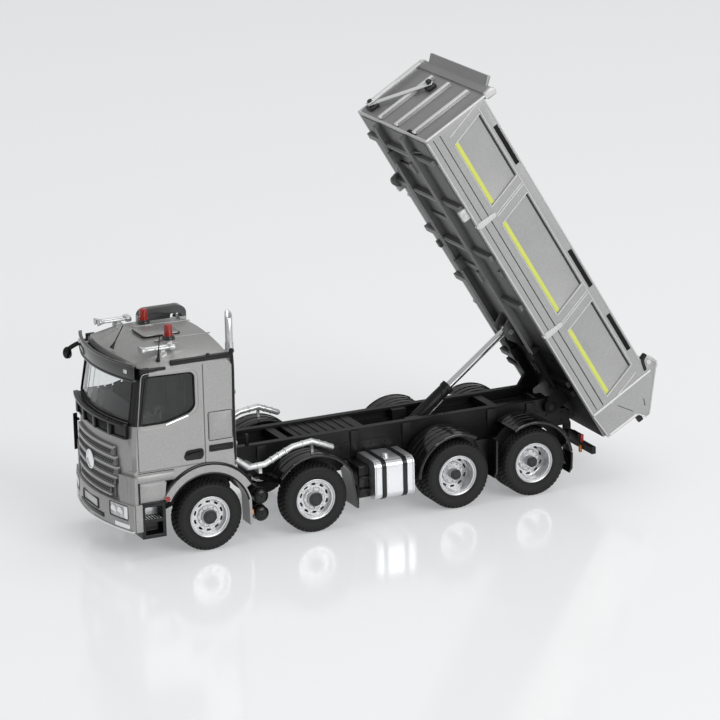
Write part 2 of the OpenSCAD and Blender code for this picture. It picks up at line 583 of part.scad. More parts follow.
module headlamps() color("#e6e8ea") vehicle() intersection() {
    front_band(bumper_half_w, bumper_out - 0.2, bumper_out, bumper_z, chin_z);
    lamp_box();
}

module sun_visor() color("#3c3d40") vehicle() visor_band();

module front_mirror() color("#1e1f21") vehicle() difference() {
    union() {
        p = [[cab_front - 3.2, -cab_half + 1.6, window_top_z - 2.2], [cab_front + 2.9, -cab_half - 0.4, window_top_z - 1],
             [cab_front + 4, -cab_half - 1, window_top_z - 2.8]];
        for (i = [0, 1]) hull()
            for (k = [i, i + 1]) translate(p[k]) sphere(r = 0.6, $fn = 16);
        translate(p[2]) rotate([0, 150, 0]) cylinder(r1 = 0.8, r2 = 1.5, h = 1.6, $fn = 24);
    }
    cab_body(0);
}

module cowl_panel() color("#242527") vehicle() cowl_band();

module beacons() color("#c81f1a", 0.8) vehicle() both_sides()
    translate([beacon_at[0], beacon_at[1], roof_seat_z]) {
    cylinder(r = 1.6, h = 1.3, $fn = 32);
    cylinder(r = 1.25, h = 4.4, $fn = 32);
}

module air_horns() color("#d9dbdd") vehicle() both_sides() for (k = [-1, 1])
    translate([8.6, horn_y + 1.05 * k, horn_seat_z + 1]) {
    along_x(0, 9) circle(r = 0.45, $fn = 24);
    along_x(9, 9.9 + 0.1 * k) circle(r = 0.85, $fn = 24);
    along_x(-0.9, 0.6) circle(r = 0.8, $fn = 24);
    box([2.2, -0.4, -1], [3.6, 0.4, 0]);
}

module cab_steps() color("#202123") vehicle() both_sides() difference() {
    box([arch_r + 0.3, rail_y + 4, 6.8], [cab_front - 1.7, cab_half + 0.6, chin_z]);
    for (z = [8, 13]) box([arch_r + 1.4, rail_y + 10, z], [cab_front - 2.8, cab_half + 1, z + 3.8]);
}

module cab_mudguards() color("#b3b5b7") vehicle() both_sides() {
    translate([0, 0, axle_z]) {
        across(steered_y - 0.6, cab_half + 0.7)
            polygon(concat(arc(arch_r + cab_guard_t, 28, 166, 16), arc(arch_r, 166, 28, 16)));
        across(cab_half - flange_w + 0.7, cab_half + 0.7)
            polygon(concat(arc(arch_r + flange_t, 28, 150, 16), arc(arch_r, 150, 28, 16)));
        across(steered_y - 0.6, cab_half + 0.7)
            polygon([arch_r * [cos(166), sin(166)], (arch_r + cab_guard_t) * [cos(166), sin(166)],
                     [-arch_r - 0.6, -5], [-arch_r + 0.2, -5]]);
        box([-arch_r - 0.5, rail_y, 5.2], [-arch_r + 0.5, steered_y, 6.8]);
    }
}

hoop_top_z = roof_edge_z + 6;
module intake_hoop() color("#34363a") vehicle() across(hoop_y[0], hoop_y[1]) difference() {
    r = 2.6;
    z0 = horn_seat_z + 0.6;
    polygon(concat([[hoop_x[1], z0]], arc(r, 0, 90, 6, [hoop_x[1] - r, hoop_top_z - r]),
                   arc(r, 90, 180, 6, [hoop_x[0] + r, hoop_top_z - r]), [[hoop_x[0], z0]]));
    hole = [hoop_x[0] + 1.4, hoop_x[0] + 5.2];
    translate([0, -1]) polygon(concat(arc(1.4, 180, 90, 6, [hole[0] + 1.4, hoop_top_z - 2.8]),
                   [[hole[1], hoop_top_z - 1.4], [hole[1] + 0.6, z0], [hole[0], z0]]));
}

// Bed
half_bed = bed_w / 2;
rib_t = 0.7;                                       // how far rails and pillars stand out of a panel
side_in = half_bed - bed_wall;
pillar_w = 7.4;
rear_bay = [3, 29.8];                              // side panels between the pillars
front_bay = [bed_l - 30.8, bed_l - 6.9];
bays = [rear_bay, [rear_bay[1] + pillar_w, front_bay[0] - pillar_w], front_bay];
lower_rail_w = 7.6;
top_rail_w = bed_h - 3.7;
pillar_lean = 3.3;
front_beam_w = bed_h + 1.1;
canopy_half = 20.2;
cross_u = [14, 46, bed_l - 46, bed_l - 26, bed_l - 8];

module bed_floor() color("#a6a8aa") vehicle() tipped()
    box([-9, -side_in, 0], [bed_l - bed_wall, side_in, bed_floor_t]);

module bed_side(s) color("#b0b2b4") vehicle() tipped() side(s) difference() {
    union() {
        box([0, side_in, 0], [bed_l, half_bed, bed_h]);
        across(side_in, half_bed) polygon(concat(cheek, [[5.5, 0]]));
    }
    // recessed panels between the pillars
    for (b = bays) across(half_bed - rib_t, half_bed + 1)
        polygon([[b[0], lower_rail_w], [b[1], lower_rail_w], [b[1] + pillar_lean, top_rail_w], [b[0] + pillar_lean, top_rail_w]]);
    // grooves along the lower rail
    for (w = [2.3, 4.9]) box([1, half_bed - 0.35, w - 0.15], [bed_l - 1, half_bed + 1, w + 0.15]);
}

module bed_front_wall() color("#a2a4a6") vehicle() tipped() {
    inner = bed_l - bed_wall;
    box([inner, -side_in, 0], [bed_l, side_in, front_beam_w + eps]);
    box([inner, -half_bed, front_beam_w], [bed_l + 0.6, half_bed, front_beam_w + 3.3]);
    // canopy plate, leaning over the cab
    across(-canopy_half, canopy_half) polygon([[bed_l - 0.9, front_beam_w + 2.4], [bed_l + 0.4, front_beam_w + 2.4],
                                               [bed_l + 3, front_beam_w + 5], [bed_l + 2.2, front_beam_w + 5.8]]);
    for (k = [-0.4, 0.08, 0.6]) box([bed_l - eps, k * half_bed - 1, 1.5], [bed_l + 1, k * half_bed + 1, bed_h]);
}

module bed_rails() color("#2c2d30") vehicle() tipped() {
    r_out = bed_rail_y;
    r_in = bed_rail_y - 2;
    plate_y = [rail_y + 0.4, rail_y + 1.8];
    both_sides() {
        box([hinge_u + 2.3, r_in, -bed_rail_h], [bed_l - 0.5, r_out, 0]);
        for (u = [18, bed_l / 2, bed_l - 12])
            box([u - 2, rail_y - rail_w + 0.6, -bed_rail_h - pad_h], [u + 2, r_in + eps, 0]);
        // hinge plates outside the frame
        difference() {
            union() {
                across(plate_y[0], plate_y[1])
                    polygon([[hinge_u - 2, 0], [hinge_u - 2, hinge_w], [hinge_u + 2, hinge_w], [hinge_u + 5, 0]]);
                translate([hinge_u, 0, hinge_w]) bar_y(2, plate_y[0], plate_y[1]);
            }
            translate([hinge_u, 0, hinge_w]) bar_y(hinge_pin_r + run_c, rail_y, rail_y + 3);
        }
        // cheeks for the cylinder's eye
        across(eye_cheek_y, eye_cheek_y + 1)
            polygon([[eye_bed[0] - 9, 0], [eye_bed[0] - 2, -4.6], [eye_bed[0] + 2, -4.6], [eye_bed[0] + 4.5, 0]]);
        for (u = cross_u) box([u - 1, r_out - eps, -1.6], [u + 1, side_in, 0]);
    }
    for (u = cross_u) if (u > eye_bed[0] + 20) box([u - 1, -r_in - eps, 0.4 - bed_rail_h], [u + 1, r_in + eps, 0]);
}

module tailgate() color("#a8aaac") vehicle() tipped() {
    inner = side_in - gap;
    across(-inner, inner) polygon(concat(gate_outside, gate_inside));
    both_sides() {
        across(inner - 1.6, inner) polygon([[0, bed_h + 3.5], [3, bed_h + 3.6], [3, bed_h + 0.6], [0.4, bed_h + 2]]);
        translate([gate_hinge[0], 0, gate_hinge[1]]) bar_y(1.5, inner - 1.6, inner);
    }
}

// Tipping cylinder, in line from the trunnion to the eye
module cylinder_line() translate([trunnion[0], 0, trunnion[1]]) rotate([0, cylinder_a - 90, 0]) children();

module cylinder_barrel() color("#2a2b2e") vehicle() cylinder_line() difference() {
    union() {
        translate([0, 0, -barrel_in]) cylinder(r = barrel_r, h = barrel_in + barrel_out);
        translate([0, 0, barrel_out - 1.6]) cylinder(r = barrel_r + 0.25, h = 1.6);
        bar_y(stub_r, -rail_y + rail_w + 0.3, rail_y - rail_w - 0.3);
        bar_y(1.9, -3.9, 3.9);
    }
    translate([0, 0, -barrel_in + 1]) cylinder(r = rod_r + run_c, h = barrel_in + barrel_out);
}

module cylinder_rod() color("#e2e4e6") vehicle() cylinder_line() {
    translate([0, 0, barrel_out - 5]) cylinder(r = rod_r, h = cylinder_l - barrel_out + 5);
    translate([0, 0, cylinder_l]) bar_y(eye_r, 0.4 - eye_cheek_y, eye_cheek_y - 0.4);
}

chassis_frame();
tipper_frame();
engine();
front_axle(1);  // front_axle_1
front_axle(2);  // front_axle_2
rear_axle(3);  // rear_axle_3
rear_axle(4);  // rear_axle_4
rear_springs();
for (a = [1, 2], s = ["left", "right"]) knuckle(a, s);
for (a = [1, 2]) tie_rod(a);
for (a = [1:4], s = ["left", "right"]) tyre(a, s);
for (a = [1:4], s = ["left", "right"]) rim(a, s);
fuel_tank();
side_boxes();
air_tanks();
side_tubes();
mudguards();
rear_bumper();
rear_lamps();
exhaust_stack();
cab_shell();
cab_glazing();
cab_interior();
grille();
front_bumper();
headlamps();
sun_visor();
front_mirror();
cowl_panel();
beacons();
air_horns();
cab_steps();
cab_mudguards();
intake_hoop();
bed_floor();
bed_side("left");  // bed_side_left
bed_side("right");  // bed_side_right
bed_front_wall();
bed_rails();
tailgate();
cylinder_barrel();
cylinder_rod();
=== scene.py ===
"""Finish of a four-axle tipper truck display model: its looks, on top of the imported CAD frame."""

import json
import math

import bmesh
import bpy
from bpy.props import FloatProperty, FloatVectorProperty, IntProperty, PointerProperty
from mathutils import Matrix, Vector


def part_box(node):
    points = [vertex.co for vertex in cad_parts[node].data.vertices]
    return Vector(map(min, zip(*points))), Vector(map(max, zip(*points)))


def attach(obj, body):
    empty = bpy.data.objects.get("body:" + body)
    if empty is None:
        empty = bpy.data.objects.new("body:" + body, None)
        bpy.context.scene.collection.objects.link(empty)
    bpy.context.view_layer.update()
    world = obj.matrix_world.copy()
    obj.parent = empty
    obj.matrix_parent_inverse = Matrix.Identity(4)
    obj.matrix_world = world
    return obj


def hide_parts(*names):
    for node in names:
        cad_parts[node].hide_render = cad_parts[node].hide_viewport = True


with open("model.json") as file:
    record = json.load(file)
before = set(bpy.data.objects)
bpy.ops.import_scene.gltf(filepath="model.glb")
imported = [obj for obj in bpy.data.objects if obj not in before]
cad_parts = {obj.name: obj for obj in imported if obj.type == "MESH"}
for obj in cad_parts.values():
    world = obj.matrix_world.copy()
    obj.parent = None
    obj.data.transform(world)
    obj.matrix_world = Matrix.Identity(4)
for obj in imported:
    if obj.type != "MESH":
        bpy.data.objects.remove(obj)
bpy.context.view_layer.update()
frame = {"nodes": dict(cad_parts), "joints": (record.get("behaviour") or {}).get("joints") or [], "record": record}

bl_info = {
    "name": "Tipper truck model",
    "version": (1, 0, 0),
    "blender": (4, 5, 0),
    "location": "3D View > Sidebar > Tipper",
    "description": "Builds the finish of a four-axle tipper truck display model on its CAD frame",
    "category": "Object",
}

MM = 0.001
JOINTS = {j["name"]: j for j in frame["joints"]}
SLOTS = {s["node"]: s["material_slot"] for s in frame["record"]["subparts"]}
BODY_OF = {n: b for b, names in frame["record"]["behaviour"]["bodies"].items() for n in names}


def middle(node):
    """Centre of a CAD node's box, in metres."""
    lo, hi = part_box(node)
    return (lo + hi) / 2


# Truck space: millimetres from axle 1, X forward, Y to the left, Z up from the ground
AXLE_1 = middle("rim_1_left").x
TRUCK = Matrix.Translation((AXLE_1, 0, 0)) @ Matrix.Scale(MM, 4)
AXLES = [(middle(f"rim_{n}_left").x - AXLE_1) / MM for n in (1, 2, 3, 4)]
AXLE_Z = middle("rim_1_left").z / MM
TYRE_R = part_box("tyre_1_left")[1].z / MM - AXLE_Z

# Bed space: millimetres along the raised bed, across it and out of its floor
BED_HINGE = Vector(JOINTS["bed_tip"]["pos_m"])
BED_RAISE = math.radians(JOINTS["bed_tip"]["range_deg"][1])
HINGE_U = 4.9
HINGE_W = -6.5
BED = (Matrix.Translation(BED_HINGE) @ Matrix.Rotation(-BED_RAISE, 4, "Y") @ Matrix.Scale(MM, 4)
       @ Matrix.Translation((-HINGE_U, 0, -HINGE_W)))
BED_WAY = (BED.to_3x3() @ Vector((1, 0, 0))).normalized()
# painted shade: up to this distance along the bed, in mm, the underside is drawn nearly black
SHADED_TO_U = 24
EYE_U, EYE_W = 31.3, -2.6
BED_L = 112.1
BED_H = 23.2
HALF_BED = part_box("bed_side_left")[1].y / MM
SIDE_IN = HALF_BED - 1.5

CAB_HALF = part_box("cab_shell")[1].y / MM
CAB_REAR = (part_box("cab_shell")[0].x - AXLE_1) / MM
CAB_BACK = CAB_REAR + 0.1
CAB_FRONT = 23.6
CAB_BOW = 4.4
BELT_Z = 42.5
ROOF_EDGE_Z = 62.3
RAIL_Y = 9.4
WHEEL_FACE_Y = 24.7
STEERED_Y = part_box("tyre_1_left")[0].y / MM
STEERED_FACE_Y = 24.4
TWIN_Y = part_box("tyre_3_left")[0].y / MM
TWIN_WIDTH, TWIN_GAP = 5.6, 0.6
ARCH_R = TYRE_R + 2.9
REAR_ARCH_R = TYRE_R + 2.1
FRAME_END = -131.2

# Cylinder space: millimetres from the barrel's pivot, Z along the rod
ROD_WAY = Vector(JOINTS["rod_slide"]["axis"]).normalized()
BARREL = (Matrix.Translation(JOINTS["barrel_swing"]["pos_m"])
          @ Matrix(((0, 0, ROD_WAY.x), (1, 0, ROD_WAY.y), (0, 1, ROD_WAY.z))).to_4x4() @ Matrix.Scale(MM, 4))
BARREL_END = 18.7

BOTH = (("left", 1), ("right", -1))


# ---------------------------------------------------------------- settings

def colour(name, description, default):
    return FloatVectorProperty(name=name, description=description, default=default, subtype="COLOR",
                               min=0, max=1, size=3)


class TIPPER_PG_colours(bpy.types.PropertyGroup):
    """Colours of the model's finishes"""
    cab_silver: colour("Cab silver", "Metallic paint of the cab", (0.40, 0.40, 0.395))
    bed_silver: colour("Bed silver", "Metallic paint of the bed", (0.44, 0.445, 0.44))
    # painted shade: a darker copy of the bed silver for the front wall and canopy, which face away from the light
    shaded_wall_silver: colour("Front wall shaded silver", "Front wall and canopy of the bed", (0.36, 0.365, 0.36))
    # painted highlight: a light silver for the bed's folded edges, also taken by its latches and gate pivot plates
    highlight_silver: colour("Highlight silver", "Folded edges and latches of the bed", (0.72, 0.725, 0.72))
    under_grey: colour("Underside grey", "Paint of the bed's rails", (0.17, 0.172, 0.17))
    frame_black: colour("Frame black", "Satin paint of the chassis", (0.0085, 0.0085, 0.0095))
    trim_black: colour("Trim black", "Moulded trim and mudguards", (0.008, 0.008, 0.0085))
    visor_grey: colour("Visor grey", "Sun visor and intake hoop", (0.020, 0.021, 0.023))
    rubber: colour("Tyre rubber", "Tyres", (0.0155, 0.0155, 0.016))
    rim_silver: colour("Rim silver", "Wheel rims", (0.62, 0.625, 0.635))
    stripe: colour("Reflective stripe", "Tape along the bed's sides", (0.78, 0.84, 0.16))
    red: colour("Red lens", "Beacons and rear lamps", (0.50, 0.018, 0.008))
    amber: colour("Amber lens", "Side markers", (0.85, 0.26, 0.02))
    floor: colour("Floor", "Studio floor", (0.80, 0.803, 0.81))


def millimetres(name, description, default, low, high):
    return FloatProperty(name=name, description=description + ", in mm", default=default, min=low, max=high)


class TIPPER_PG_sizes(bpy.types.PropertyGroup):
    """Sizes of the model's details, in millimetres"""
    tread_depth: millimetres("Tread depth", "Depth of the tyres' grooves", 0.42, 0.1, 0.8)
    tread_count: IntProperty(name="Tread blocks", description="Blocks round a tyre", default=46, min=20, max=80)
    seal: millimetres("Window seal", "Radius of the rubber round the windows", 0.26, 0.1, 0.5)
    bolt: millimetres("Bolt head", "Radius of a bolt head on the frame", 0.34, 0.15, 0.6)
    edge: millimetres("Edge", "Rounding of sheet metal edges", 0.16, 0.02, 0.4)
    stripe: millimetres("Stripe width", "Width of the reflective tape", 1.35, 0.5, 3)


class TIPPER_PG_studio(bpy.types.PropertyGroup):
    """Camera and light"""
    distance: FloatProperty(name="Distance", description="Camera to the middle of the model", default=1.2,
                            min=0.5, max=4, unit="LENGTH")
    azimuth: FloatProperty(name="Azimuth", description="Camera ahead of the model's left side",
                           default=math.radians(24.4), subtype="ANGLE")
    elevation: FloatProperty(name="Elevation", description="Camera above the horizon",
                             default=math.radians(16.2), subtype="ANGLE")
    roll: FloatProperty(name="Roll", description="Camera turned about its view", default=math.radians(-1.4),
                        subtype="ANGLE")
    lens: FloatProperty(name="Lens", description="Focal length, in mm", default=190, min=50, max=400)
    board: FloatProperty(name="Board glow", description="Light of the floor where it is seen", default=0.3,
                         min=0, max=1)
    world: FloatProperty(name="Room light", description="Strength of the even light", default=0.42,
                         min=0, max=2)
    key: FloatProperty(name="Key light", description="Strength of the main softbox", default=13.0, min=0,
                       unit="POWER")
    fill: FloatProperty(name="Top light", description="Strength of the overhead softbox", default=4.5, min=0,
                        unit="POWER")


def colours():
    return bpy.context.scene.tipper_colours


def sizes():
    return bpy.context.scene.tipper_sizes


# ---------------------------------------------------------------- shader groups

def new_group(name, outputs=("Color", "Roughness", "Height"), **inputs):
    """An empty shader group that takes a Vector, a Colour and the inputs given here with their defaults.
    Returns it with the sockets that its nodes read and those that they feed."""
    group = bpy.data.node_groups.new(name, "ShaderNodeTree")
    for socket, default in {"Vector": None, "Colour": (0.5, 0.5, 0.5, 1), **inputs}.items():
        kind = "Float" if isinstance(default, float) else "Color" if socket == "Colour" else "Vector"
        made = group.interface.new_socket(name=socket.replace("_", " "), in_out="INPUT",
                                          socket_type="NodeSocket" + kind)
        if default is not None:
            made.default_value = default
    for socket in outputs:
        kind = "Color" if socket == "Color" else "Float"
        group.interface.new_socket(name=socket, in_out="OUTPUT", socket_type="NodeSocket" + kind)
    return group, group.nodes.new("NodeGroupInput").outputs, group.nodes.new("NodeGroupOutput").inputs


def plug(tree, socket, value):
    """Links a socket to another one, or sets its value."""
    if isinstance(value, bpy.types.NodeSocket):
        tree.links.new(value, socket)
    else:
        socket.default_value = value


def new_node(tree, kind, **inputs):
    """A shader node with its inputs plugged."""
    made = tree.nodes.new("ShaderNode" + kind)
    for name, value in inputs.items():
        plug(tree, made.inputs[name], value)
    return made


def math_node(tree, operation, a, b):
    """Result of a Math node; a and b are sockets or numbers."""
    made = new_node(tree, "Math")
    made.operation = operation
    plug(tree, made.inputs[0], a)
    plug(tree, made.inputs[1], b)
    return made.outputs[0]


def tinted(tree, base, shade):
    """base, made lighter or darker by shade, a factor round 1."""
    grey = tree.nodes.new("ShaderNodeCombineColor")
    for channel in grey.inputs:
        tree.links.new(shade, channel)
    mix = tree.nodes.new("ShaderNodeMix")
    mix.data_type = "RGBA"
    mix.blend_type = "MULTIPLY"
    mix.inputs["Factor"].default_value = 1
    tree.links.new(base, mix.inputs["A"])
    tree.links.new(grey.outputs[0], mix.inputs["B"])
    return mix.outputs["Result"]


def surface_look(group, given, out, shade, gloss, height):
    """Ends a group: its colour made lighter or darker by shade, its roughness and its height."""
    plug(group, out["Color"], tinted(group, given["Colour"], shade))
    plug(group, out["Roughness"], gloss)
    plug(group, out["Height"], height)


def varied_look(group, given, out, centred, height):
    """Ends a group: centred, a value round 0, varies the colour by Shade and the roughness by Gloss spread."""
    shade = math_node(group, "ADD", math_node(group, "MULTIPLY", centred, given["Shade"]), 1.0)
    spread = math_node(group, "MULTIPLY", centred, given["Gloss spread"])
    surface_look(group, given, out, shade, math_node(group, "ADD", spread, given["Gloss"]), height)


def grain_group():
    """Moulded or painted grain: fine noise over broad, faint patches."""
    group, given, out = new_group("Fine grain", Scale=4000.0, Shade=0.1, Gloss=0.4, Gloss_spread=0.1)
    broad_scale = math_node(group, "MULTIPLY", given["Scale"], 0.035)
    fine = new_node(group, "TexNoise", Vector=given["Vector"], Scale=given["Scale"], Detail=3).outputs["Fac"]
    broad = new_node(group, "TexNoise", Vector=given["Vector"], Scale=broad_scale, Detail=2).outputs["Fac"]
    centred = math_node(group, "SUBTRACT", math_node(group, "ADD", fine, broad), 1.0)
    varied_look(group, given, out, centred, fine)
    return group


def flake_group():
    """Metallic paint: tiny flakes, each a little lighter or darker and glossier."""
    group, given, out = new_group("Metal flake", Scale=5200.0, Sparkle=0.2, Gloss=0.35)
    broad_scale = math_node(group, "MULTIPLY", given["Scale"], 0.02)
    cells = new_node(group, "TexVoronoi", Vector=given["Vector"], Scale=given["Scale"])
    patches = new_node(group, "TexNoise", Vector=given["Vector"], Scale=broad_scale)
    split = new_node(group, "SeparateColor")
    plug(group, split.inputs[0], cells.outputs["Color"])
    centred = math_node(group, "SUBTRACT", split.outputs[0], 0.5)
    flake = math_node(group, "MULTIPLY", centred, given["Sparkle"])
    patch = math_node(group, "MULTIPLY", math_node(group, "SUBTRACT", patches.outputs["Fac"], 0.5), 0.12)
    shade = math_node(group, "ADD", math_node(group, "ADD", flake, patch), 1.0)
    gloss = math_node(group, "ADD", math_node(group, "MULTIPLY", flake, 0.3), given["Gloss"])
    gloss = math_node(group, "ADD", gloss, math_node(group, "MULTIPLY", patch, 0.5))
    surface_look(group, given, out, shade, gloss, split.outputs[1])
    return group


def brushed_group():
    """Brushed or drawn metal: noise pulled out along one axis."""
    group, given, out = new_group("Brushed metal", Stretch=(200, 9000, 9000), Shade=0.15, Gloss=0.3,
                                  Gloss_spread=0.15)
    pull = new_node(group, "VectorMath")
    pull.operation = "MULTIPLY"
    plug(group, pull.inputs[0], given["Vector"])
    plug(group, pull.inputs[1], given["Stretch"])
    lines = new_node(group, "TexNoise", Vector=pull.outputs[0], Scale=1, Detail=4).outputs["Fac"]
    varied_look(group, given, out, math_node(group, "SUBTRACT", lines, 0.5), lines)
    return group


def hinge_shade_group():
    """Painted shade: turns a colour nearly black towards the bed's hinge, where the underside lies in shadow."""
    group, given, out = new_group("Painted hinge shade", ["Color"], Start=0.02, Length=0.012)
    along = new_node(group, "VectorMath")
    along.operation = "DOT_PRODUCT"
    plug(group, along.inputs[0], given["Vector"])
    plug(group, along.inputs[1], BED_WAY)
    from_hinge = math_node(group, "SUBTRACT", along.outputs["Value"], given["Start"])
    part = math_node(group, "DIVIDE", from_hinge, given["Length"])
    held = math_node(group, "MINIMUM", math_node(group, "MAXIMUM", part, 0.08), 1.0)
    plug(group, out["Color"], tinted(group, given["Colour"], held))
    return group


# ---------------------------------------------------------------- materials

RELIEF = 0.06 * MM


def finish(name, group, values, colour_rgb, bump=0.0, **shader):
    """A material whose colour, roughness and bump come from a group on Object coordinates.
    values set the group's sockets, and shader the Principled BSDF's own ones."""
    material = bpy.data.materials.new(name)
    material.use_nodes = True
    tree = material.node_tree
    surface = tree.nodes["Principled BSDF"]
    place = tree.nodes.new("ShaderNodeTexCoord")
    effect = tree.nodes.new("ShaderNodeGroup")
    effect.node_tree = group
    tree.links.new(place.outputs["Object"], effect.inputs["Vector"])
    effect.inputs["Colour"].default_value = (*colour_rgb, 1)
    for socket, value in values.items():
        effect.inputs[socket].default_value = value
    tree.links.new(effect.outputs["Color"], surface.inputs["Base Color"])
    tree.links.new(effect.outputs["Roughness"], surface.inputs["Roughness"])
    if bump:
        relief = new_node(tree, "Bump", Strength=bump, Distance=RELIEF, Height=effect.outputs["Height"])
        tree.links.new(relief.outputs["Normal"], surface.inputs["Normal"])
    for socket, value in shader.items():
        surface.inputs[socket.replace("_", " ")].default_value = value
    material.diffuse_color = (*colour_rgb, 1)
    return material


MATERIALS = {}


def material(name):
    return MATERIALS[name]


def make_materials():
    c = colours()
    grain, flake, brushed = grain_group(), flake_group(), brushed_group()

    def paint(name, rgb, gloss, metallic, sparkle=0.22, coat=0.35):
        return finish(name, flake, {"Gloss": gloss, "Sparkle": sparkle}, rgb, bump=0.05, Metallic=metallic,
                      Coat_Weight=coat, Coat_Roughness=0.12)

    def moulded(name, rgb, gloss, shade=0.16, scale=4000.0, bump=0.25, **shader):
        return finish(name, grain, {"Gloss": gloss, "Shade": shade, "Scale": scale}, rgb, bump=bump, **shader)

    made = {
        "silver_paint": paint("Cab metallic silver", c.cab_silver, 0.4, 0.4),
        "bed_silver": paint("Bed metallic silver", c.bed_silver, 0.45, 0.3, 0.18, 0.1),
        "shaded_wall_silver": paint("Front wall shaded silver", c.shaded_wall_silver, 0.42, 0.35, 0.18, 0.1),
        "rail_highlight_grey": paint("Rail lip painted highlight", (0.33, 0.335, 0.33), 0.42, 0.3, 0.18, 0.0),
        "highlight_silver": paint("Painted highlight silver", c.highlight_silver, 0.4, 0.2, 0.12, 0.1),
        "under_grey": paint("Bed underside grey", c.under_grey, 0.46, 0.5, 0.18, 0.0),
        "frame_black": moulded("Chassis satin black", c.frame_black, 0.42, Specular_IOR_Level=0.3),
        "cast_grey": moulded("Cast grey", (0.08, 0.08, 0.085), 0.62, 0.3, 2600.0, 0.6),
        "black_plastic": moulded("Black moulded plastic", c.trim_black, 0.24, bump=0.1,
                                 Specular_IOR_Level=0.35),
        "gloss_black": moulded("Gloss black plastic", c.trim_black, 0.14, bump=0.04, Specular_IOR_Level=0.5),
        "matt_black": moulded("Matt black trim", (0.006, 0.006, 0.0065), 0.6, Specular_IOR_Level=0.25),
        "visor_grey": moulded("Visor dark grey", c.visor_grey, 0.22, 0.1, bump=0.06, Coat_Weight=0.4),
        "grey_plastic": moulded("Interior grey plastic", (0.085, 0.085, 0.088), 0.55),
        "grille_grey": moulded("Grille grey", (0.155, 0.155, 0.158), 0.36, Metallic=0.35),
        "tyre_rubber": moulded("Tyre rubber", c.rubber, 0.62, 0.3, 3000.0, 0.4, Specular_IOR_Level=0.35),
        "rim_silver": paint("Rim silver", c.rim_silver, 0.3, 0.55, 0.1, 0.2),
        "hub_grey": moulded("Hub dark grey", (0.035, 0.036, 0.039), 0.4, Metallic=0.3),
        "brushed_aluminium": finish("Brushed aluminium", brushed, {"Gloss": 0.3, "Stretch": (9000, 300, 9000)},
                                    (0.80, 0.81, 0.83), bump=0.15, Metallic=0.85),
        "tube_silver": finish("Satin plated tube", brushed,
                              {"Gloss": 0.3, "Gloss spread": 0.08, "Shade": 0.1, "Stretch": (1500, 1500, 1500)},
                              (0.66, 0.67, 0.675), Metallic=0.6),
        "chrome": finish("Chrome plating", brushed,
                         {"Gloss": 0.09, "Gloss spread": 0.05, "Shade": 0.05, "Stretch": (900, 900, 900)},
                         (0.86, 0.87, 0.88), Metallic=1.0),
        "stripe": finish("Reflective tape", grain, {"Gloss": 0.35, "Shade": 0.12, "Scale": 7000.0}, c.stripe,
                         bump=0.15, Coat_Weight=0.3),
        "red_lens": finish("Red lens", grain, {"Gloss": 0.1, "Shade": 0.2, "Scale": 2400.0}, c.red, bump=0.1,
                           Transmission_Weight=0.25, Coat_Weight=0.6, Coat_Roughness=0.04),
        "amber_lens": finish("Amber lens", grain, {"Gloss": 0.14, "Scale": 3000.0}, c.amber, bump=0.1,
                             Coat_Weight=0.5),
        "clear_lens": finish("Clear lens", grain, {"Gloss": 0.08, "Shade": 0.08, "Scale": 1800.0},
                             (0.86, 0.87, 0.88), bump=0.2, Coat_Weight=0.6, Specular_IOR_Level=0.7),
        "lamp_bowl": finish("Lamp reflector", brushed, {"Gloss": 0.14, "Stretch": (2500, 400, 2500)},
                            (0.82, 0.83, 0.84), Metallic=0.9),
        # white of the blank plate and marker lamps, also a painted highlight on the front wall's ribs and the
        # sheet's arms
        "white_and_painted_highlight": moulded("Plate white and painted highlight", (0.9, 0.905, 0.91), 0.35, 0.05),
        "blue_cap": moulded("Blue cap", (0.04, 0.16, 0.42), 0.35, 0.08),
        "clear_glass": finish("Window glass", grain, {"Gloss": 0.03, "Gloss spread": 0.01, "Shade": 0.02,
                                                      "Scale": 500.0}, (0.93, 0.95, 0.95),
                              Transmission_Weight=0.98, IOR=1.2, Specular_IOR_Level=0.8),
    }
    # painted shade: the underside grey darkens to near black towards the hinge, where it lies in shadow
    tree = made["under_grey"].node_tree
    shade = new_node(tree, "Group")
    shade.node_tree = hinge_shade_group()
    plug(tree, shade.inputs["Start"], (BED @ Vector((SHADED_TO_U, 0, 0))).dot(BED_WAY))
    plug(tree, shade.inputs["Vector"], tree.nodes["Texture Coordinate"].outputs["Object"])
    plug(tree, shade.inputs["Colour"], tree.nodes["Group"].outputs["Color"])
    plug(tree, tree.nodes["Principled BSDF"].inputs["Base Color"], shade.outputs["Color"])
    MATERIALS.update(made)


# ---------------------------------------------------------------- modelling

def both_sides(near, far):
    """The ranges of Y from near to far on the right and on the left."""
    return (-far, -near), (near, far)


def edges_of(verts):
    """Edges at the vertices, each once, in an order that is the same in every run."""
    return list(dict.fromkeys(e for v in verts for e in v.link_edges))


def soften(bm, edges, width, segments=2):
    if width > 0 and edges:
        bmesh.ops.bevel(bm, geom=edges, offset=width, offset_type="OFFSET", segments=segments, profile=0.5,
                        affect="EDGES", material=-1, clamp_overlap=True)


def block(bm, lo, hi, edge=0.0, turn=None, segments=2):
    """A box from corner lo to corner hi, its edges rounded, turned about its middle."""
    lo, hi = Vector(lo), Vector(hi)
    place = Matrix.Translation((lo + hi) / 2) @ (turn or Matrix.Identity(4)) @ Matrix.Diagonal((*(hi - lo), 1))
    made = bmesh.ops.create_cube(bm, size=1, matrix=place)
    soften(bm, edges_of(made["verts"]), edge, segments)


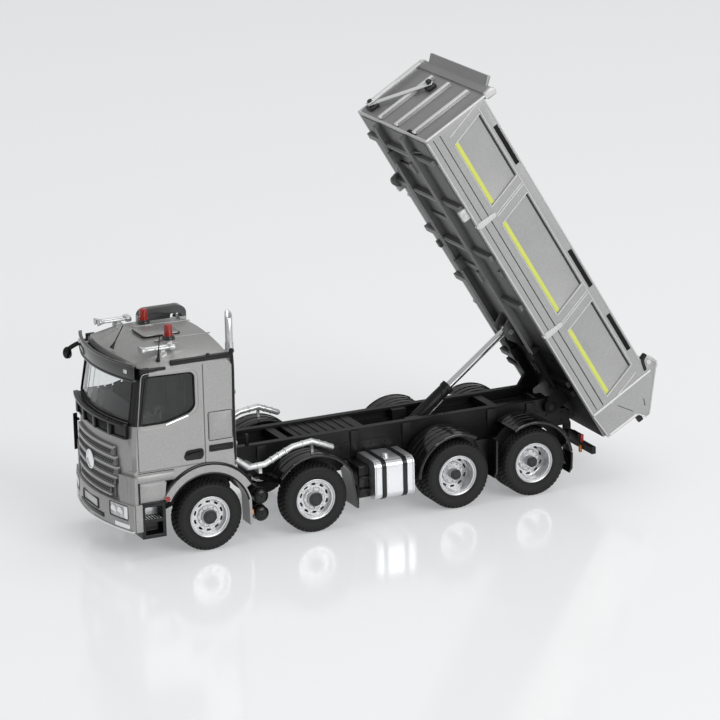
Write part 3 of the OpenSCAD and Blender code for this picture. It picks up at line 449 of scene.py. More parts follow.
def rod(bm, a, b, r, r_end=None, sides=20, edge=0.0):
    """A round bar or cone from a to b."""
    a, b = Vector(a), Vector(b)
    along = b - a
    place = Matrix.Translation((a + b) / 2) @ along.to_track_quat("Z", "Y").to_matrix().to_4x4()
    made = bmesh.ops.create_cone(bm, cap_ends=True, segments=sides, radius1=r,
                                 radius2=r if r_end is None else r_end, depth=along.length, matrix=place)
    if edge:
        ends = [e for e in edges_of(made["verts"]) if any(len(f.verts) > 4 for f in e.link_faces)]
        soften(bm, ends, edge)


def ball(bm, at, r, squash=(1, 1, 1), u=20, v=12):
    place = Matrix.Translation(at) @ Matrix.Diagonal((*squash, 1))
    bmesh.ops.create_uvsphere(bm, u_segments=u, v_segments=v, radius=r, matrix=place)


def lifted(outline, level, axis="y"):
    """Points of a flat outline, put at a level of an axis. The outline is (x, z) with y, (y, z) with x
    and (x, y) with z."""
    order = {"x": (2, 0, 1), "y": (0, 2, 1), "z": (0, 1, 2)}[axis]
    return [tuple((*p, level)[i] for i in order) for p in outline]


def plate(bm, outline, lo, hi, axis="y", edge=0.0, segments=2):
    """A flat outline, pulled out from lo to hi along an axis."""
    start = bm.faces.new([bm.verts.new(p) for p in lifted(outline, lo, axis)])
    pulled = bmesh.ops.extrude_face_region(bm, geom=[start])
    moved = [v for v in pulled["geom"] if isinstance(v, bmesh.types.BMVert)]
    bmesh.ops.translate(bm, verts=moved, vec=(hi - lo) * Vector(lifted([(0, 0)], 1, axis)[0]))
    if edge:
        rim = edges_of(list(start.verts) + moved) if start.is_valid else []
        soften(bm, rim, edge, segments)


def flat_bar(bm, a, b, width, thick):
    """A flat bar with rounded ends from a to b, its thickness along X."""
    a, b = Vector(a), Vector(b)
    along = (b - a).normalized()
    out = Vector((1, 0, 0))
    side = along.cross(out).normalized()
    place = Matrix((along, side, out)).transposed().to_4x4()
    place.translation = (a + b) / 2
    made = bmesh.ops.create_cube(
        bm, size=1, matrix=place @ Matrix.Diagonal(((b - a).length + width, width, thick, 1)))
    soften(bm, edges_of(made["verts"]), width * 0.3, 3)


def turned(bm, profile, at=(0, 0, 0), steps=56, closed=True):
    """A ring or disc turned about an axis along Y; profile is (radius, y)."""
    at = Vector(at)
    verts = [bm.verts.new(at + Vector((r, y, 0))) for r, y in profile]
    pairs = list(zip(verts, verts[1:])) + ([(verts[-1], verts[0])] if closed else [])
    edges = [bm.edges.new(p) for p in pairs]
    bmesh.ops.spin(bm, geom=verts + edges, axis=(0, 1, 0), cent=at, dvec=(0, 0, 0), angle=2 * math.pi,
                   steps=steps, use_merge=True, use_duplicate=False)


def joined(bm, other):
    """Adds another bmesh's faces to bm and frees it."""
    mesh = bpy.data.meshes.new("joined")
    other.to_mesh(mesh)
    other.free()
    bm.from_mesh(mesh)
    bpy.data.meshes.remove(mesh)


def placed_ring(bm, place, profile, steps, closed=True):
    """A ring or disc turned about Y, then set in place by a matrix."""
    ring = bmesh.new()
    turned(ring, profile, steps=steps, closed=closed)
    ring.transform(place)
    joined(bm, ring)


def smooth_path(points, per_span=6):
    """Points on a smooth curve through the given ones."""
    p = [Vector(q) for q in points]
    p = [p[0] * 2 - p[1]] + p + [p[-1] * 2 - p[-2]]
    out = []
    for i in range(1, len(p) - 2):
        for k in range(per_span):
            t = k / per_span
            out.append(0.5 * (2 * p[i] + (p[i + 1] - p[i - 1]) * t
                              + (2 * p[i - 1] - 5 * p[i] + 4 * p[i + 1] - p[i + 2]) * t * t
                              + (3 * p[i] - p[i - 1] - 3 * p[i + 1] + p[i + 2]) * t ** 3))
    return out + [p[-2]]


def round_corners(points, r, steps=5):
    """An outline with its corners rounded, for closed outlines in two dimensions."""
    out = []
    count = len(points)
    for i, p in enumerate(points):
        p = Vector(p)
        a, b = Vector(points[i - 1]), Vector(points[(i + 1) % count])
        cut = min(r, (a - p).length * 0.45, (b - p).length * 0.45)
        start, end = p + (a - p).normalized() * cut, p + (b - p).normalized() * cut
        for k in range(steps + 1):
            t = k / steps
            out.append(start * (1 - t) ** 2 + p * 2 * t * (1 - t) + end * t * t)
    return out


def subdivided(points, step):
    """The same closed outline with points at most a step apart."""
    out = []
    for i, p in enumerate(points):
        q = points[(i + 1) % len(points)]
        count = max(1, int((q - p).length / step))
        out += [p.lerp(q, k / count) for k in range(count)]
    return out


def pipe(bm, points, r, sides=10, closed=False, flat=1.0):
    """A tube along points; flat squashes its section. A closed one joins its ends."""
    points = [Vector(p) for p in points]
    count = len(points)
    rings = []
    turn = None
    for i, p in enumerate(points):
        ahead = points[(i + 1) % count] if closed or i + 1 < count else p
        behind = points[i - 1] if closed or i else p
        along = (ahead - behind).normalized()
        if turn is None:
            turn = along.to_track_quat("Z", "Y")
        else:
            turn = (turn @ Vector((0, 0, 1))).rotation_difference(along) @ turn
        place = Matrix.Translation(p) @ turn.to_matrix().to_4x4() @ Matrix.Diagonal((1, flat, 1, 1))
        ring = bmesh.ops.create_circle(bm, cap_ends=False, segments=sides, radius=r, matrix=place)["verts"]
        rings.append(edges_of(ring))
    for a, b in zip(rings, rings[1:]):
        bmesh.ops.bridge_loops(bm, edges=a + b)
    if closed:
        bmesh.ops.bridge_loops(bm, edges=rings[-1] + rings[0])
    else:
        for ring in (rings[0], rings[-1]):
            bmesh.ops.contextual_create(bm, geom=ring)


def shown(name, bm, finish_name, smooth):
    """An object of the bmesh, with its finish and smooth shading."""
    mesh = bpy.data.meshes.new(name)
    bm.to_mesh(mesh)
    bm.free()
    mesh.materials.append(material(finish_name))
    mesh.polygons.foreach_set("use_smooth", [True] * len(mesh.polygons))
    mesh.set_sharp_from_angle(angle=math.radians(smooth))
    mesh.update()
    obj = bpy.data.objects.new(name, mesh)
    bpy.context.scene.collection.objects.link(obj)
    return obj


MERGE = 0.0008


def piece(name, bm, body, finish_name, space=TRUCK, slot=None, smooth=35, mirror=False, replaces=()):
    """Turns a bmesh in truck or bed space into a finished piece that rides on a body."""
    if mirror:
        bmesh.ops.scale(bm, vec=(1, -1, 1), verts=bm.verts)
    bmesh.ops.remove_doubles(bm, verts=bm.verts, dist=MERGE)
    bmesh.ops.recalc_face_normals(bm, faces=bm.faces)
    bm.transform(space)
    obj = shown(name, bm, finish_name, smooth)
    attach(obj, body)
    if replaces:
        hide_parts(*replaces)


class Section:
    """Pieces that one operator builds, with the body they ride on and the space they are drawn in."""

    def __init__(self, body, space):
        self.body, self.space, self.parts = body, space, []

    def single(self, name, finish_name, **kept):
        """Marks a drawing function as one piece."""
        return self.marked([(name, False)], finish_name, kept)

    def sides(self, name, finish_name, **kept):
        """Marks a drawing function as a piece on the left and, mirrored, on the right."""
        return self.marked([(f"{name}_{side}", sign < 0) for side, sign in BOTH], finish_name, kept)

    def marked(self, names, finish_name, kept):
        def keep(draw):
            self.parts.append((draw, names, finish_name, {"body": self.body, "space": self.space, **kept}))
            return draw
        return keep

    def build(self):
        for draw, names, finish_name, kept in self.parts:
            for name, mirror in names:
                bm = bmesh.new()
                draw(bm)
                piece(name, bm, finish_name=finish_name, mirror=mirror, **kept)


def refined(node, finish_name, edge=0.0, smooth=32):
    """A merged copy of a CAD node with rounded edges and smooth shading, shown in its place."""
    bm = bmesh.new()
    bm.from_mesh(frame["nodes"][node].data)
    bmesh.ops.remove_doubles(bm, verts=bm.verts, dist=2e-6)
    bmesh.ops.dissolve_limit(bm, angle_limit=math.radians(0.6), verts=bm.verts, edges=bm.edges)
    if edge:
        sharp = [e for e in bm.edges if len(e.link_faces) == 2 and e.calc_face_angle(0) > math.radians(40)
                 and e.calc_length() > 3 * edge * MM]
        soften(bm, sharp, edge * MM, 2)
    obj = shown(node + "_finish", bm, finish_name, smooth)
    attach(obj, BODY_OF[node])
    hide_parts(node)


def bow_x(y, ahead=0.0):
    """X of the cab's bowed front at y."""
    r = (CAB_HALF ** 2 + CAB_BOW ** 2) / (2 * CAB_BOW)
    return CAB_FRONT + CAB_BOW - r + math.sqrt((r + ahead) ** 2 - y * y)


def bowed(bm, half, ahead, thick, z0, z1, start=None, steps=18, edge=0.0):
    """A band that follows the bow of the cab's front, from -half (or start) to half."""
    start = -half if start is None else start
    ys = [start + (half - start) * i / steps for i in range(steps + 1)]
    outline = [(bow_x(y, ahead), y) for y in ys] + [(bow_x(y, ahead - thick), y) for y in reversed(ys)]
    plate(bm, outline, z0, z1, axis="z", edge=edge)


def sheet(bm, place, across_steps, up_steps, thickness):
    """A curved sheet: a grid whose corners (0, 0) to (1, 1) are put where place(u, v) says, then thickened."""
    made = bmesh.ops.create_grid(bm, x_segments=across_steps, y_segments=up_steps, size=0.5)
    verts = made["verts"]
    for v in verts:
        v.co = Vector(place(v.co.x + 0.5, v.co.y + 0.5))
    faces = list(dict.fromkeys(f for v in verts for f in v.link_faces))
    pulled = bmesh.ops.extrude_face_region(bm, geom=faces)
    moved = [v for v in pulled["geom"] if isinstance(v, bmesh.types.BMVert)]
    bmesh.ops.translate(bm, verts=moved, vec=Vector(thickness))


def front_x(y, z, ahead=0.0):
    """X of the cab's front skin at y and z."""
    out = abs(y)
    if out < 18.4:
        pull = 0.0
    elif out < 21.8:
        pull = 0.25 * (out - 18.4) / 3.4
    else:
        pull = 0.25 + 0.55 * (out - 21.8) / 1.2
    x = CAB_FRONT + CAB_BOW * (1 - (y / CAB_HALF) ** 2) - pull + ahead
    if z > BELT_Z:
        return x - 0.6 - 3.0 * (z - BELT_Z) / 16.2
    return x - 0.6 * max(0.0, z - 34) / 8.5


def circle_points(r, start, end, steps, at=(0, 0)):
    """Points (x, z) on an arc round at, angles in degrees."""
    return [(at[0] + r * math.cos(math.radians(start + (end - start) * i / steps)),
             at[1] + r * math.sin(math.radians(start + (end - start) * i / steps))) for i in range(steps + 1)]


# ---------------------------------------------------------------- wheels

def tyre_shape(lo, hi):
    """One tyre between y lo and hi, round the origin: a moulded carcass with five rows of tread blocks."""
    s = sizes()
    bm = bmesh.new()
    mid, half = (lo + hi) / 2, (hi - lo) / 2
    base = TYRE_R - s.tread_depth
    side = [(6.28, half - 0.75), (6.6, half - 0.45), (6.75, half - 0.12), (7.15, half - 0.1), (7.22, half),
            (7.42, half), (7.5, half - 0.1), (8.4, half), (9.2, half - 0.02), (9.26, half - 0.1),
            (9.4, half - 0.1), (9.46, half - 0.05), (9.95, half - 0.22), (base - 0.12, half - 0.62),
            (base, half - 0.95)]
    profile = [(r, mid + y) for r, y in side] + [(r, mid - y) for r, y in reversed(side)]
    turned(bm, profile, steps=72)
    count = s.tread_count
    pitch = 2 * math.pi * base / count
    rows = [(-half + 0.72, 0.95, base - 0.17, 24, 0.0), (-half / 2.4, 0.92, base, 0, 0.5),
            (0, 0.86, base, 0, 0.0), (half / 2.4, 0.92, base, 0, 0.5),
            (half - 0.72, 0.95, base - 0.17, -24, 0.0)]
    for y, width, r, tilt, stagger in rows:
        for i in range(count):
            turn = Matrix.Rotation(2 * math.pi * (i + stagger) / count, 4, "Y")
            at = turn @ Matrix.Translation((0, mid + y, r)) @ Matrix.Rotation(math.radians(tilt), 4, "X")
            skew = Matrix.Rotation(math.radians(9 if y < 0 else -9), 4, "Z")
            bmesh.ops.create_cube(bm, size=1, matrix=at @ skew @ Matrix.Diagonal(
                (pitch * 0.74, width, 2 * s.tread_depth - 0.02, 1)))
    return bm


class TIPPER_OT_tyres(bpy.types.Operator):
    """Tyres with moulded side walls and tread, single in front and twin behind"""
    bl_idname = "tipper.tyres"
    bl_label = "Tyres"

    def execute(self, context):
        single = [(STEERED_Y, STEERED_FACE_Y)]
        twin = [(TWIN_Y, TWIN_Y + TWIN_WIDTH), (TWIN_Y + TWIN_WIDTH + TWIN_GAP, WHEEL_FACE_Y)]
        for n, x in enumerate(AXLES, 1):
            for side, sign in BOTH:
                bm = bmesh.new()
                for lo, hi in (single if n < 3 else twin):
                    joined(bm, tyre_shape(lo, hi))
                bmesh.ops.translate(bm, verts=bm.verts, vec=(x, 0, AXLE_Z))
                piece(f"tyre_{n}_{side}_rubber", bm, f"wheel_{n}_{side}", "tyre_rubber", slot="tyre_rubber",
                      mirror=sign < 0, replaces=[f"tyre_{n}_{side}"])
        return {"FINISHED"}


class TIPPER_OT_wheels(bpy.types.Operator):
    """Rims, wheel nuts and hub caps"""
    bl_idname = "tipper.wheels"
    bl_label = "Wheels"

    def execute(self, context):
        for n, x in enumerate(AXLES, 1):
            steered = n < 3
            face, hub, reach = (22.8, 2.5, 24.3) if steered else (20.1, 1.7, 23.1)
            for side, sign in BOTH:
                body = f"wheel_{n}_{side}"
                refined(f"rim_{n}_{side}", "rim_silver", smooth=30)
                bm = bmesh.new()
                # flange ring and its nuts
                at = (x, 0, AXLE_Z)
                turned(bm, [(hub - 0.1, face - 0.2), (hub - 0.1, face + 0.42), (3.35, face + 0.42),
                            (3.55, face + 0.25), (3.6, face - 0.2)], at, 48)
                for i in range(10):
                    a = 2 * math.pi * (i + 0.5) / 10
                    p = Vector((x + 3.0 * math.cos(a), face + 0.38, AXLE_Z + 3.0 * math.sin(a)))
                    rod(bm, p, p + Vector((0, 0.2, 0)), 0.34, sides=12)
                    rod(bm, p, p + Vector((0, 0.55, 0)), 0.24, sides=6)
                # bead lip of the rim
                turned(bm, [(6.05, 24.0), (6.05, 24.32), (6.3, 24.42), (6.52, 24.36), (6.5, 24.1), (6.3, 23.9)],
                       at, 64)
                piece(f"wheel_nuts_{n}_{side}", bm, body, "rim_silver", slot="rim_silver", mirror=sign < 0,
                      smooth=30)
                # dark disc behind the rim's openings: painted shade, where the inside of the wheel lies in shadow
                bm = bmesh.new()
                turned(bm, [(hub + 0.1, face - 0.95), (5.35, face - 0.95), (5.4, face - 1.3),
                            (hub + 0.1, face - 1.3)], at, 40)
                piece(f"rim_shade_disc_{n}_{side}", bm, body, "matt_black", mirror=sign < 0, smooth=30)
                bm = bmesh.new()
                cap = hub - 0.4 if steered else hub - 0.1
                turned(bm, [(0.0001, reach - 0.3), (cap + 0.12, reach - 0.3), (cap + 0.12, reach + 0.08),
                            (cap, reach + 0.16), (cap * 0.72, reach + 0.2), (cap * 0.66, reach + 0.34),
                            (cap * 0.3, reach + 0.38), (0.0001, reach + 0.38)], at, 40, closed=False)
                for i in range(8):
                    a = 2 * math.pi * i / 8
                    p = Vector((x + cap * 0.85 * math.cos(a), reach + 0.12, AXLE_Z + cap * 0.85 * math.sin(a)))
                    rod(bm, p, p + Vector((0, 0.2, 0)), 0.13, sides=6)
                piece(f"hub_cap_{n}_{side}", bm, body, "hub_grey", mirror=sign < 0, smooth=30)
        return {"FINISHED"}


# ---------------------------------------------------------------- cab

SIDE_WINDOW = [(19, 57.7), (4.2, 57.3), (3.2, 56.3), (3.2, 46.6), (4.8, 44.9), (13, 42.7), (20.6, 42.7),
               (21.2, 43.6)]
WINDSCREEN = [(-20.4, 43.8), (20.4, 43.8), (20.4, 44.5), (19.4, 57.7), (-19.4, 57.7), (-20.4, 44.5)]


CAB_SKIN = Section("chassis", TRUCK)


@CAB_SKIN.sides("door_foot_bar", "silver_paint", slot="silver_paint")
def crease(bm):
    # pressed bar along the foot of the door, and the pressing below it
    outline = [(CAB_HALF - 0.5, 24.2), (CAB_HALF + 0.25, 24.6), (CAB_HALF + 0.62, 25.3), (CAB_HALF + 0.7, 26),
               (CAB_HALF + 0.5, 26.8), (CAB_HALF + 0.1, 27.3), (CAB_HALF - 0.5, 27.5)]
    plate(bm, outline, 10.6, 23.4, axis="x", edge=sizes().edge)


@CAB_SKIN.sides("lower_side_panel", "silver_paint", slot="silver_paint")
def lower_panel(bm):
    block(bm, (14.6, CAB_HALF - 0.6, 18.4), (21.7, CAB_HALF + 0.1, 23.9), edge=0.3)
    plate(bm, [(13.4, 24.0), (13.9, 20), (14.9, 18.4), (14.9, 24.0)], CAB_HALF - 0.6, CAB_HALF + 0.06)


@CAB_SKIN.sides("door_pressing", "silver_paint", slot="silver_paint")
def pressing(bm):
    # raised line round the side window and the door's upper part
    ring = round_corners([(20.2, 58.9), (3.4, 58.5), (1.9, 56.9), (1.9, 45.9), (4.2, 43.4), (12.8, 41.3),
                          (21.3, 41.3), (22.0, 42.6)], 1.6)
    pipe(bm, lifted(ring, CAB_HALF - 0.02), 0.17, 8, closed=True)


@CAB_SKIN.sides("locker_lid", "silver_paint", slot="silver_paint")
def hatch(bm):
    ring = round_corners([(-1.2, 43.6), (-1.2, 35), (-8.7, 35), (-8.7, 43.6)], 0.6, 4)
    plate(bm, ring, CAB_HALF - 0.4, CAB_HALF + 0.22, edge=0.12)
    block(bm, (-4.4, CAB_HALF + 0.1, 36.4), (-3.0, CAB_HALF + 0.42, 37.0), edge=0.1)


@CAB_SKIN.single("grille_bars", "silver_paint", slot="silver_paint")
def grille_bars(bm):
    for i in range(6):
        z = 35.1 - 3.1 * i
        half = [15.0, 15.9, 16.7, 16.2, 14.4, 12.8][i]
        bowed(bm, half, 1.0, 1.0, z - 0.85, z, edge=0.14)


@CAB_SKIN.single("grille_mesh", "matt_black")
def grille_mesh(bm):
    for i, half in enumerate((14.0, 14.9, 15.7, 15.2, 13.4)):
        foot = 32.2 - 3.1 * i
        for row in range(2):
            count = int((half - 0.8) / 1.15)
            for k in range(-count, count + 1):
                y = 1.15 * k + 0.5 * row
                z = foot + 0.32 + 0.72 * row
                bowed(bm, y + 0.38, 0.96, 0.15, z, z + 0.5, start=y - 0.38, steps=1)


@CAB_SKIN.single("roof_hatch", "silver_paint", slot="silver_paint")
def roof_panel(bm):
    # hatch in the roof with a raised rim
    outline = round_corners([(0.5, -5), (12, -4.4), (12, 5.2), (0.5, 5.8)], 1.2)
    plate(bm, outline, ROOF_EDGE_Z + 2.4, ROOF_EDGE_Z + 3.1, axis="z", edge=0.3)
    for y in (-8.2, 8.2):
        pipe(bm, smooth_path([(-8.5, y, ROOF_EDGE_Z + 2.1), (0, y * 1.02, ROOF_EDGE_Z + 2.35),
                              (10, y * 1.08, ROOF_EDGE_Z + 2.25)]), 0.3, 8, flat=0.7)


class TIPPER_OT_cab_skin(bpy.types.Operator):
    """Cab shell, lower front and mudguards in metallic silver"""
    bl_idname = "tipper.cab_skin"
    bl_label = "Cab skin"

    def execute(self, context):
        refined("cab_shell", "silver_paint", smooth=24)
        refined("cab_mudguards", "silver_paint", smooth=32)
        refined("front_bumper", "silver_paint", edge=sizes().edge, smooth=32)
        CAB_SKIN.build()
        return {"FINISHED"}


CAB_TRIM = Section("chassis", TRUCK)


@CAB_TRIM.sides("windscreen_pillar", "black_plastic", smooth=50)
def pillar(bm):
    def front(u, v):
        y, z = 20.1 - 0.8 * v + 2.55 * u, 42.6 + 17.6 * v
        return front_x(y, z, 0.18), y, z

    def side(u, v):
        z = 42.6 + 17.6 * v
        return front_x(22.9, z, 0.1) - 1.7 * u, CAB_HALF + 0.08, z
    sheet(bm, front, 4, 14, (-0.5, 0, 0))
    sheet(bm, side, 3, 14, (0, -0.5, 0))
    rod(bm, (front_x(22.4, 43, 0), 22.5, 42.8), (front_x(22.4, 60, 0.0), 22.5, 60), 0.55, sides=16)


@CAB_TRIM.single("windscreen_seal", "matt_black")
def screen_frame(bm):
    ring = round_corners(WINDSCREEN, 1.2)
    pipe(bm, [(front_x(p.x, p.y, -0.02), p.x, p.y) for p in subdivided(ring, 2.4)], 0.34, 10, closed=True)


@CAB_TRIM.single("windscreen_header", "black_plastic")
def header(bm):
    def front(u, v):
        y, z = -19.8 + 39.6 * u, 57.5 + 3 * v
        return front_x(y, z, 0.1), y, z
    sheet(bm, front, 20, 2, (-0.4, 0, 0))


@CAB_TRIM.sides("window_seal", "matt_black")
def window_seal(bm):
    ring = round_corners(SIDE_WINDOW, 1.1)
    pipe(bm, lifted(ring, CAB_HALF - 0.05), sizes().seal, 10, closed=True)
    pipe(bm, lifted(ring, CAB_HALF - 0.35), sizes().seal * 1.4, 10, closed=True)


@CAB_TRIM.sides("window_foot_strip", "chrome", slot="chrome")
def waist_strip(bm):
    pipe(bm, [(5.6, CAB_HALF + 0.12, 43.9), (12.8, CAB_HALF + 0.12, 42.0)], 0.24, 8, flat=1.0)


@CAB_TRIM.sides("door_handle", "black_plastic")
def handle(bm):
    outline = round_corners([(0.9, 33.0), (6.6, 32.8), (7.4, 30.6), (6.6, 29.6), (1.6, 29.5), (0.8, 30.4)], 1.4)
    plate(bm, outline, CAB_HALF - 0.2, CAB_HALF + 0.22, edge=0.15)
    pipe(bm, smooth_path([(1.7, CAB_HALF + 0.15, 31.7), (2.4, CAB_HALF + 0.7, 31.8),
                          (5.4, CAB_HALF + 0.75, 31.6), (6.5, CAB_HALF + 0.15, 31.2)]), 0.34, 10)
    rod(bm, (2.3, CAB_HALF + 0.1, 30.4), (2.3, CAB_HALF + 0.32, 30.4), 0.3, sides=14)


@CAB_TRIM.sides("rear_vent", "black_plastic")
def slot_below(bm):
    outline = round_corners([(-1.0, 33.4), (-1.0, 31.2), (-9.0, 31.2), (-9.0, 33.4)], 0.5, 3)
    plate(bm, outline, CAB_HALF - 0.3, CAB_HALF + 0.16, edge=0.1)
    for z in (31.8, 32.5):
        block(bm, (-8.4, CAB_HALF + 0.1, z - 0.12), (-1.6, CAB_HALF + 0.3, z + 0.12), edge=0.05)


@CAB_TRIM.sides("side_seam_lines", "matt_black")
def seams(bm):
    ring = round_corners([(-1.0, 43.8), (-1.0, 34.8), (-8.9, 34.8), (-8.9, 43.8)], 0.6, 4)
    pipe(bm, lifted(ring, CAB_HALF + 0.02), 0.1, 6, closed=True)
    pipe(bm, [(10.8, CAB_HALF + 0.08, 27.6), (22.4, CAB_HALF + 0.02, 27.7)], 0.1, 6)


@CAB_TRIM.single("roof_hatch_seal", "matt_black")
def roof_seam(bm):
    ring = round_corners([(0.2, -5.3), (12.3, -4.7), (12.3, 5.5), (0.2, 6.1)], 1.3)
    pipe(bm, lifted(ring, ROOF_EDGE_Z + 2.72, "z"), 0.16, 6, closed=True)


@CAB_TRIM.sides("step_plates", "tube_silver")
def step_plates(bm):
    block(bm, (ARCH_R + 1.5, 19.3, 13.1), (20.8, 19.75, 16.7), edge=0.15)
    block(bm, (ARCH_R + 1.5, 19.4, 11.9), (20.8, CAB_HALF + 0.5, 12.9), edge=0.15)
    for k in range(6):
        x = ARCH_R + 1.8 + 0.95 * k
        block(bm, (x, 20.0, 12.8), (x + 0.4, CAB_HALF + 0.3, 13.1), edge=0.05)


@CAB_TRIM.sides("roof_gutter", "black_plastic")
def gutter(bm):
    block(bm, (-9.3, CAB_HALF - 0.9, 60.2), (10.6, CAB_HALF + 0.15, 61.9), edge=0.3)
    block(bm, (-2.2, CAB_HALF - 0.6, 61.6), (-1.2, CAB_HALF + 0.25, 62.5), edge=0.2)
    block(bm, (12.2, CAB_HALF - 0.9, 59.3), (19.4, CAB_HALF + 0.3, 60.3), edge=0.25)
    block(bm, (17.6, CAB_HALF - 0.9, 58.8), (20.6, CAB_HALF + 0.2, 60.6), edge=0.3)
    ball(bm, (CAB_BACK, CAB_HALF - 0.2, 62.2), 0.8)
    pipe(bm, smooth_path([(CAB_BACK, CAB_HALF - 0.3, 62.2), (CAB_BACK - 0.2, CAB_HALF - 0.2, 56),
                          (CAB_BACK, CAB_HALF - 0.2, 44), (CAB_BACK, CAB_HALF - 0.2, 34),
                          (CAB_BACK - 0.1, CAB_HALF - 0.4, 27.5)]), 0.5, 10)


@CAB_TRIM.sides("arch_lip", "black_plastic")
def arch_lip(bm):
    pipe(bm, lifted(circle_points(ARCH_R + 0.1, 27, 166, 40, (0, AXLE_Z)), CAB_HALF + 0.55), 0.32, 8)
    pipe(bm, lifted(circle_points(ARCH_R + 3.0, 52, 150, 30, (0, AXLE_Z)), CAB_HALF + 0.1), 0.42, 8)


@CAB_TRIM.sides("step_edge", "black_plastic")
def corner_strip(bm):
    block(bm, (22.0, CAB_HALF - 0.9, 17.4), (23.1, CAB_HALF + 0.35, 25.2), edge=0.25)
    block(bm, (13.2, CAB_HALF - 0.8, 17.2), (22.8, CAB_HALF + 0.35, 18.3), edge=0.2)
    for i in range(9):
        x = 14.4 + 0.85 * i
        block(bm, (x, CAB_HALF - 1.8, 18.1), (x + 0.4, CAB_HALF + 0.1, 18.4), edge=0.05)


@CAB_TRIM.single("cowl_lip", "black_plastic", smooth=40)
def cowl(bm):
    bowed(bm, 20.9, 1.7, 1.6, 42.5, 43.4, edge=0.2, steps=24)
    bowed(bm, 20.2, 0.95, 0.6, 38.4, 39.2, edge=0.15, steps=24)
    for y in (-13.5, -4.5, 4.5, 13.5):
        x = bow_x(y, 0.6)
        block(bm, (x - 0.4, y - 0.8, 38.7), (x + 0.9, y + 0.8, 42.8), edge=0.2)


@CAB_TRIM.single("cowl_openings", "matt_black")
def cowl_holes(bm):
    for y0, y1 in ((-12.2, -6), (-3.4, 3.4), (6, 12.2)):
        bowed(bm, y1, 0.62, 0.2, 39.7, 41.8, start=y0, steps=6, edge=0.08)


@CAB_TRIM.single("visor_edges", "visor_grey", slot="visor_grey", smooth=40)
def visor_lip(bm):
    bowed(bm, CAB_HALF - 0.3, -0.75, 1.15, 56.7, 57.3, edge=0.2, steps=24)
    bowed(bm, CAB_HALF - 0.3, -0.75, 1.15, 61.3, 61.9, edge=0.2, steps=24)


@CAB_TRIM.single("visor_marker_lamps", "white_and_painted_highlight")
def markers(bm):
    for y in (-19.2, 19.2):
        x = bow_x(y, -1.0)
        block(bm, (x - 0.4, y - 0.9, 58.9), (x + 0.28, y + 0.9, 60.1), edge=0.2)


@CAB_TRIM.single("corner_deflector", "black_plastic")
def deflector(bm):
    outline = [(24.1, -CAB_HALF - 0.9), (25.7, -CAB_HALF - 0.5), (25.9, -CAB_HALF + 0.2),
               (24.3, -CAB_HALF - 0.3)]
    plate(bm, outline, 23.4, 35.2, axis="z", edge=0.2)
    for z in (25, 33):
        block(bm, (24.0, -CAB_HALF - 0.3, z), (24.8, -CAB_HALF + 1.0, z + 0.8), edge=0.15)


@CAB_TRIM.single("roof_antennas", "black_plastic")
def antennas(bm):
    for foot, tip in (((13.8, 21.2, 62.3), (13.0, 20.9, 69.2)), ((22.4, 5.5, 63.6), (18.6, 5.1, 69.6))):
        foot, tip = Vector(foot), Vector(tip)
        along = (tip - foot).normalized()
        rod(bm, foot - along * 0.6, foot + along * 0.5, 0.75, 0.5, sides=18, edge=0.1)
        rod(bm, foot, foot + along * 1.6, 0.42, 0.3, sides=14)
        rod(bm, foot, tip, 0.22, 0.14, sides=12)
        ball(bm, tip, 0.2, u=10, v=8)


class TIPPER_OT_cab_trim(bpy.types.Operator):
    """Black trim, seals, handles, cowl and visor of the cab"""
    bl_idname = "tipper.cab_trim"
    bl_label = "Cab trim"

    def execute(self, context):
        refined("sun_visor", "visor_grey", edge=0.22, smooth=40)
        CAB_TRIM.build()
        return {"FINISHED"}


PLATE_X = bow_x(0, 1.7)
BEACON_X, BEACON_Y, BEACON_Z = 5.9, 10.3, ROOF_EDGE_Z + 2.6
UPRIGHT = Matrix.Rotation(math.radians(90), 4, "X")
FORWARD = Matrix.Rotation(math.radians(-90), 4, "Z")
CAB_LAMPS = Section("chassis", TRUCK)


@CAB_LAMPS.sides("headlamp_reflectors", "lamp_bowl", smooth=50)
def headlamp_cups(bm):
    for y, r in ((15.0, 1.5), (18.2, 1.45)):
        x = bow_x(y, 1.5)
        tilt = FORWARD @ Matrix.Rotation(math.radians(14), 4, "Z")
        bowl = [(r, 0), (r, 0.22), (r - 0.16, 0.3), (r - 0.3, 0.18), (0.5, 0.08), (0.0001, 0.02)]
        placed_ring(bm, Matrix.Translation((x, y, 15.4)) @ tilt, bowl, 32, False)

    def corner(u, v):
        y = 20.1 + 1.6 * u
        return bow_x(y, 1.62), y, 13.5 + 3.8 * v
    sheet(bm, corner, 3, 2, (-0.2, 0, 0))


@CAB_LAMPS.sides("headlamp_rim", "visor_grey")
def headlamp_rim(bm):
    ring = round_corners([(12.95, 13.15), (21.85, 13.15), (21.85, 17.65), (12.95, 17.65)], 0.6, 4)
    pipe(bm, [(bow_x(p.x, 1.62), p.x, p.y) for p in subdivided(ring, 1.0)], 0.2, 8, closed=True)


@CAB_LAMPS.sides("fog_lamp_and_lip", "lamp_bowl", smooth=40)
def fog_lamps(bm):
    bowed(bm, 22.4, 1.95, 0.6, 10.5, 12.1, start=15.8, steps=8, edge=0.25)
    bowed(bm, 24.2, 2.0, 0.7, 9.5, 10.1, start=2.0, steps=24, edge=0.2)


@CAB_LAMPS.single("blank_plate", "white_and_painted_highlight")
def plate_face(bm):
    block(bm, (PLATE_X - 0.55, -5.6, 13.5), (PLATE_X - 0.2, 5.6, 15.9), edge=0.12)


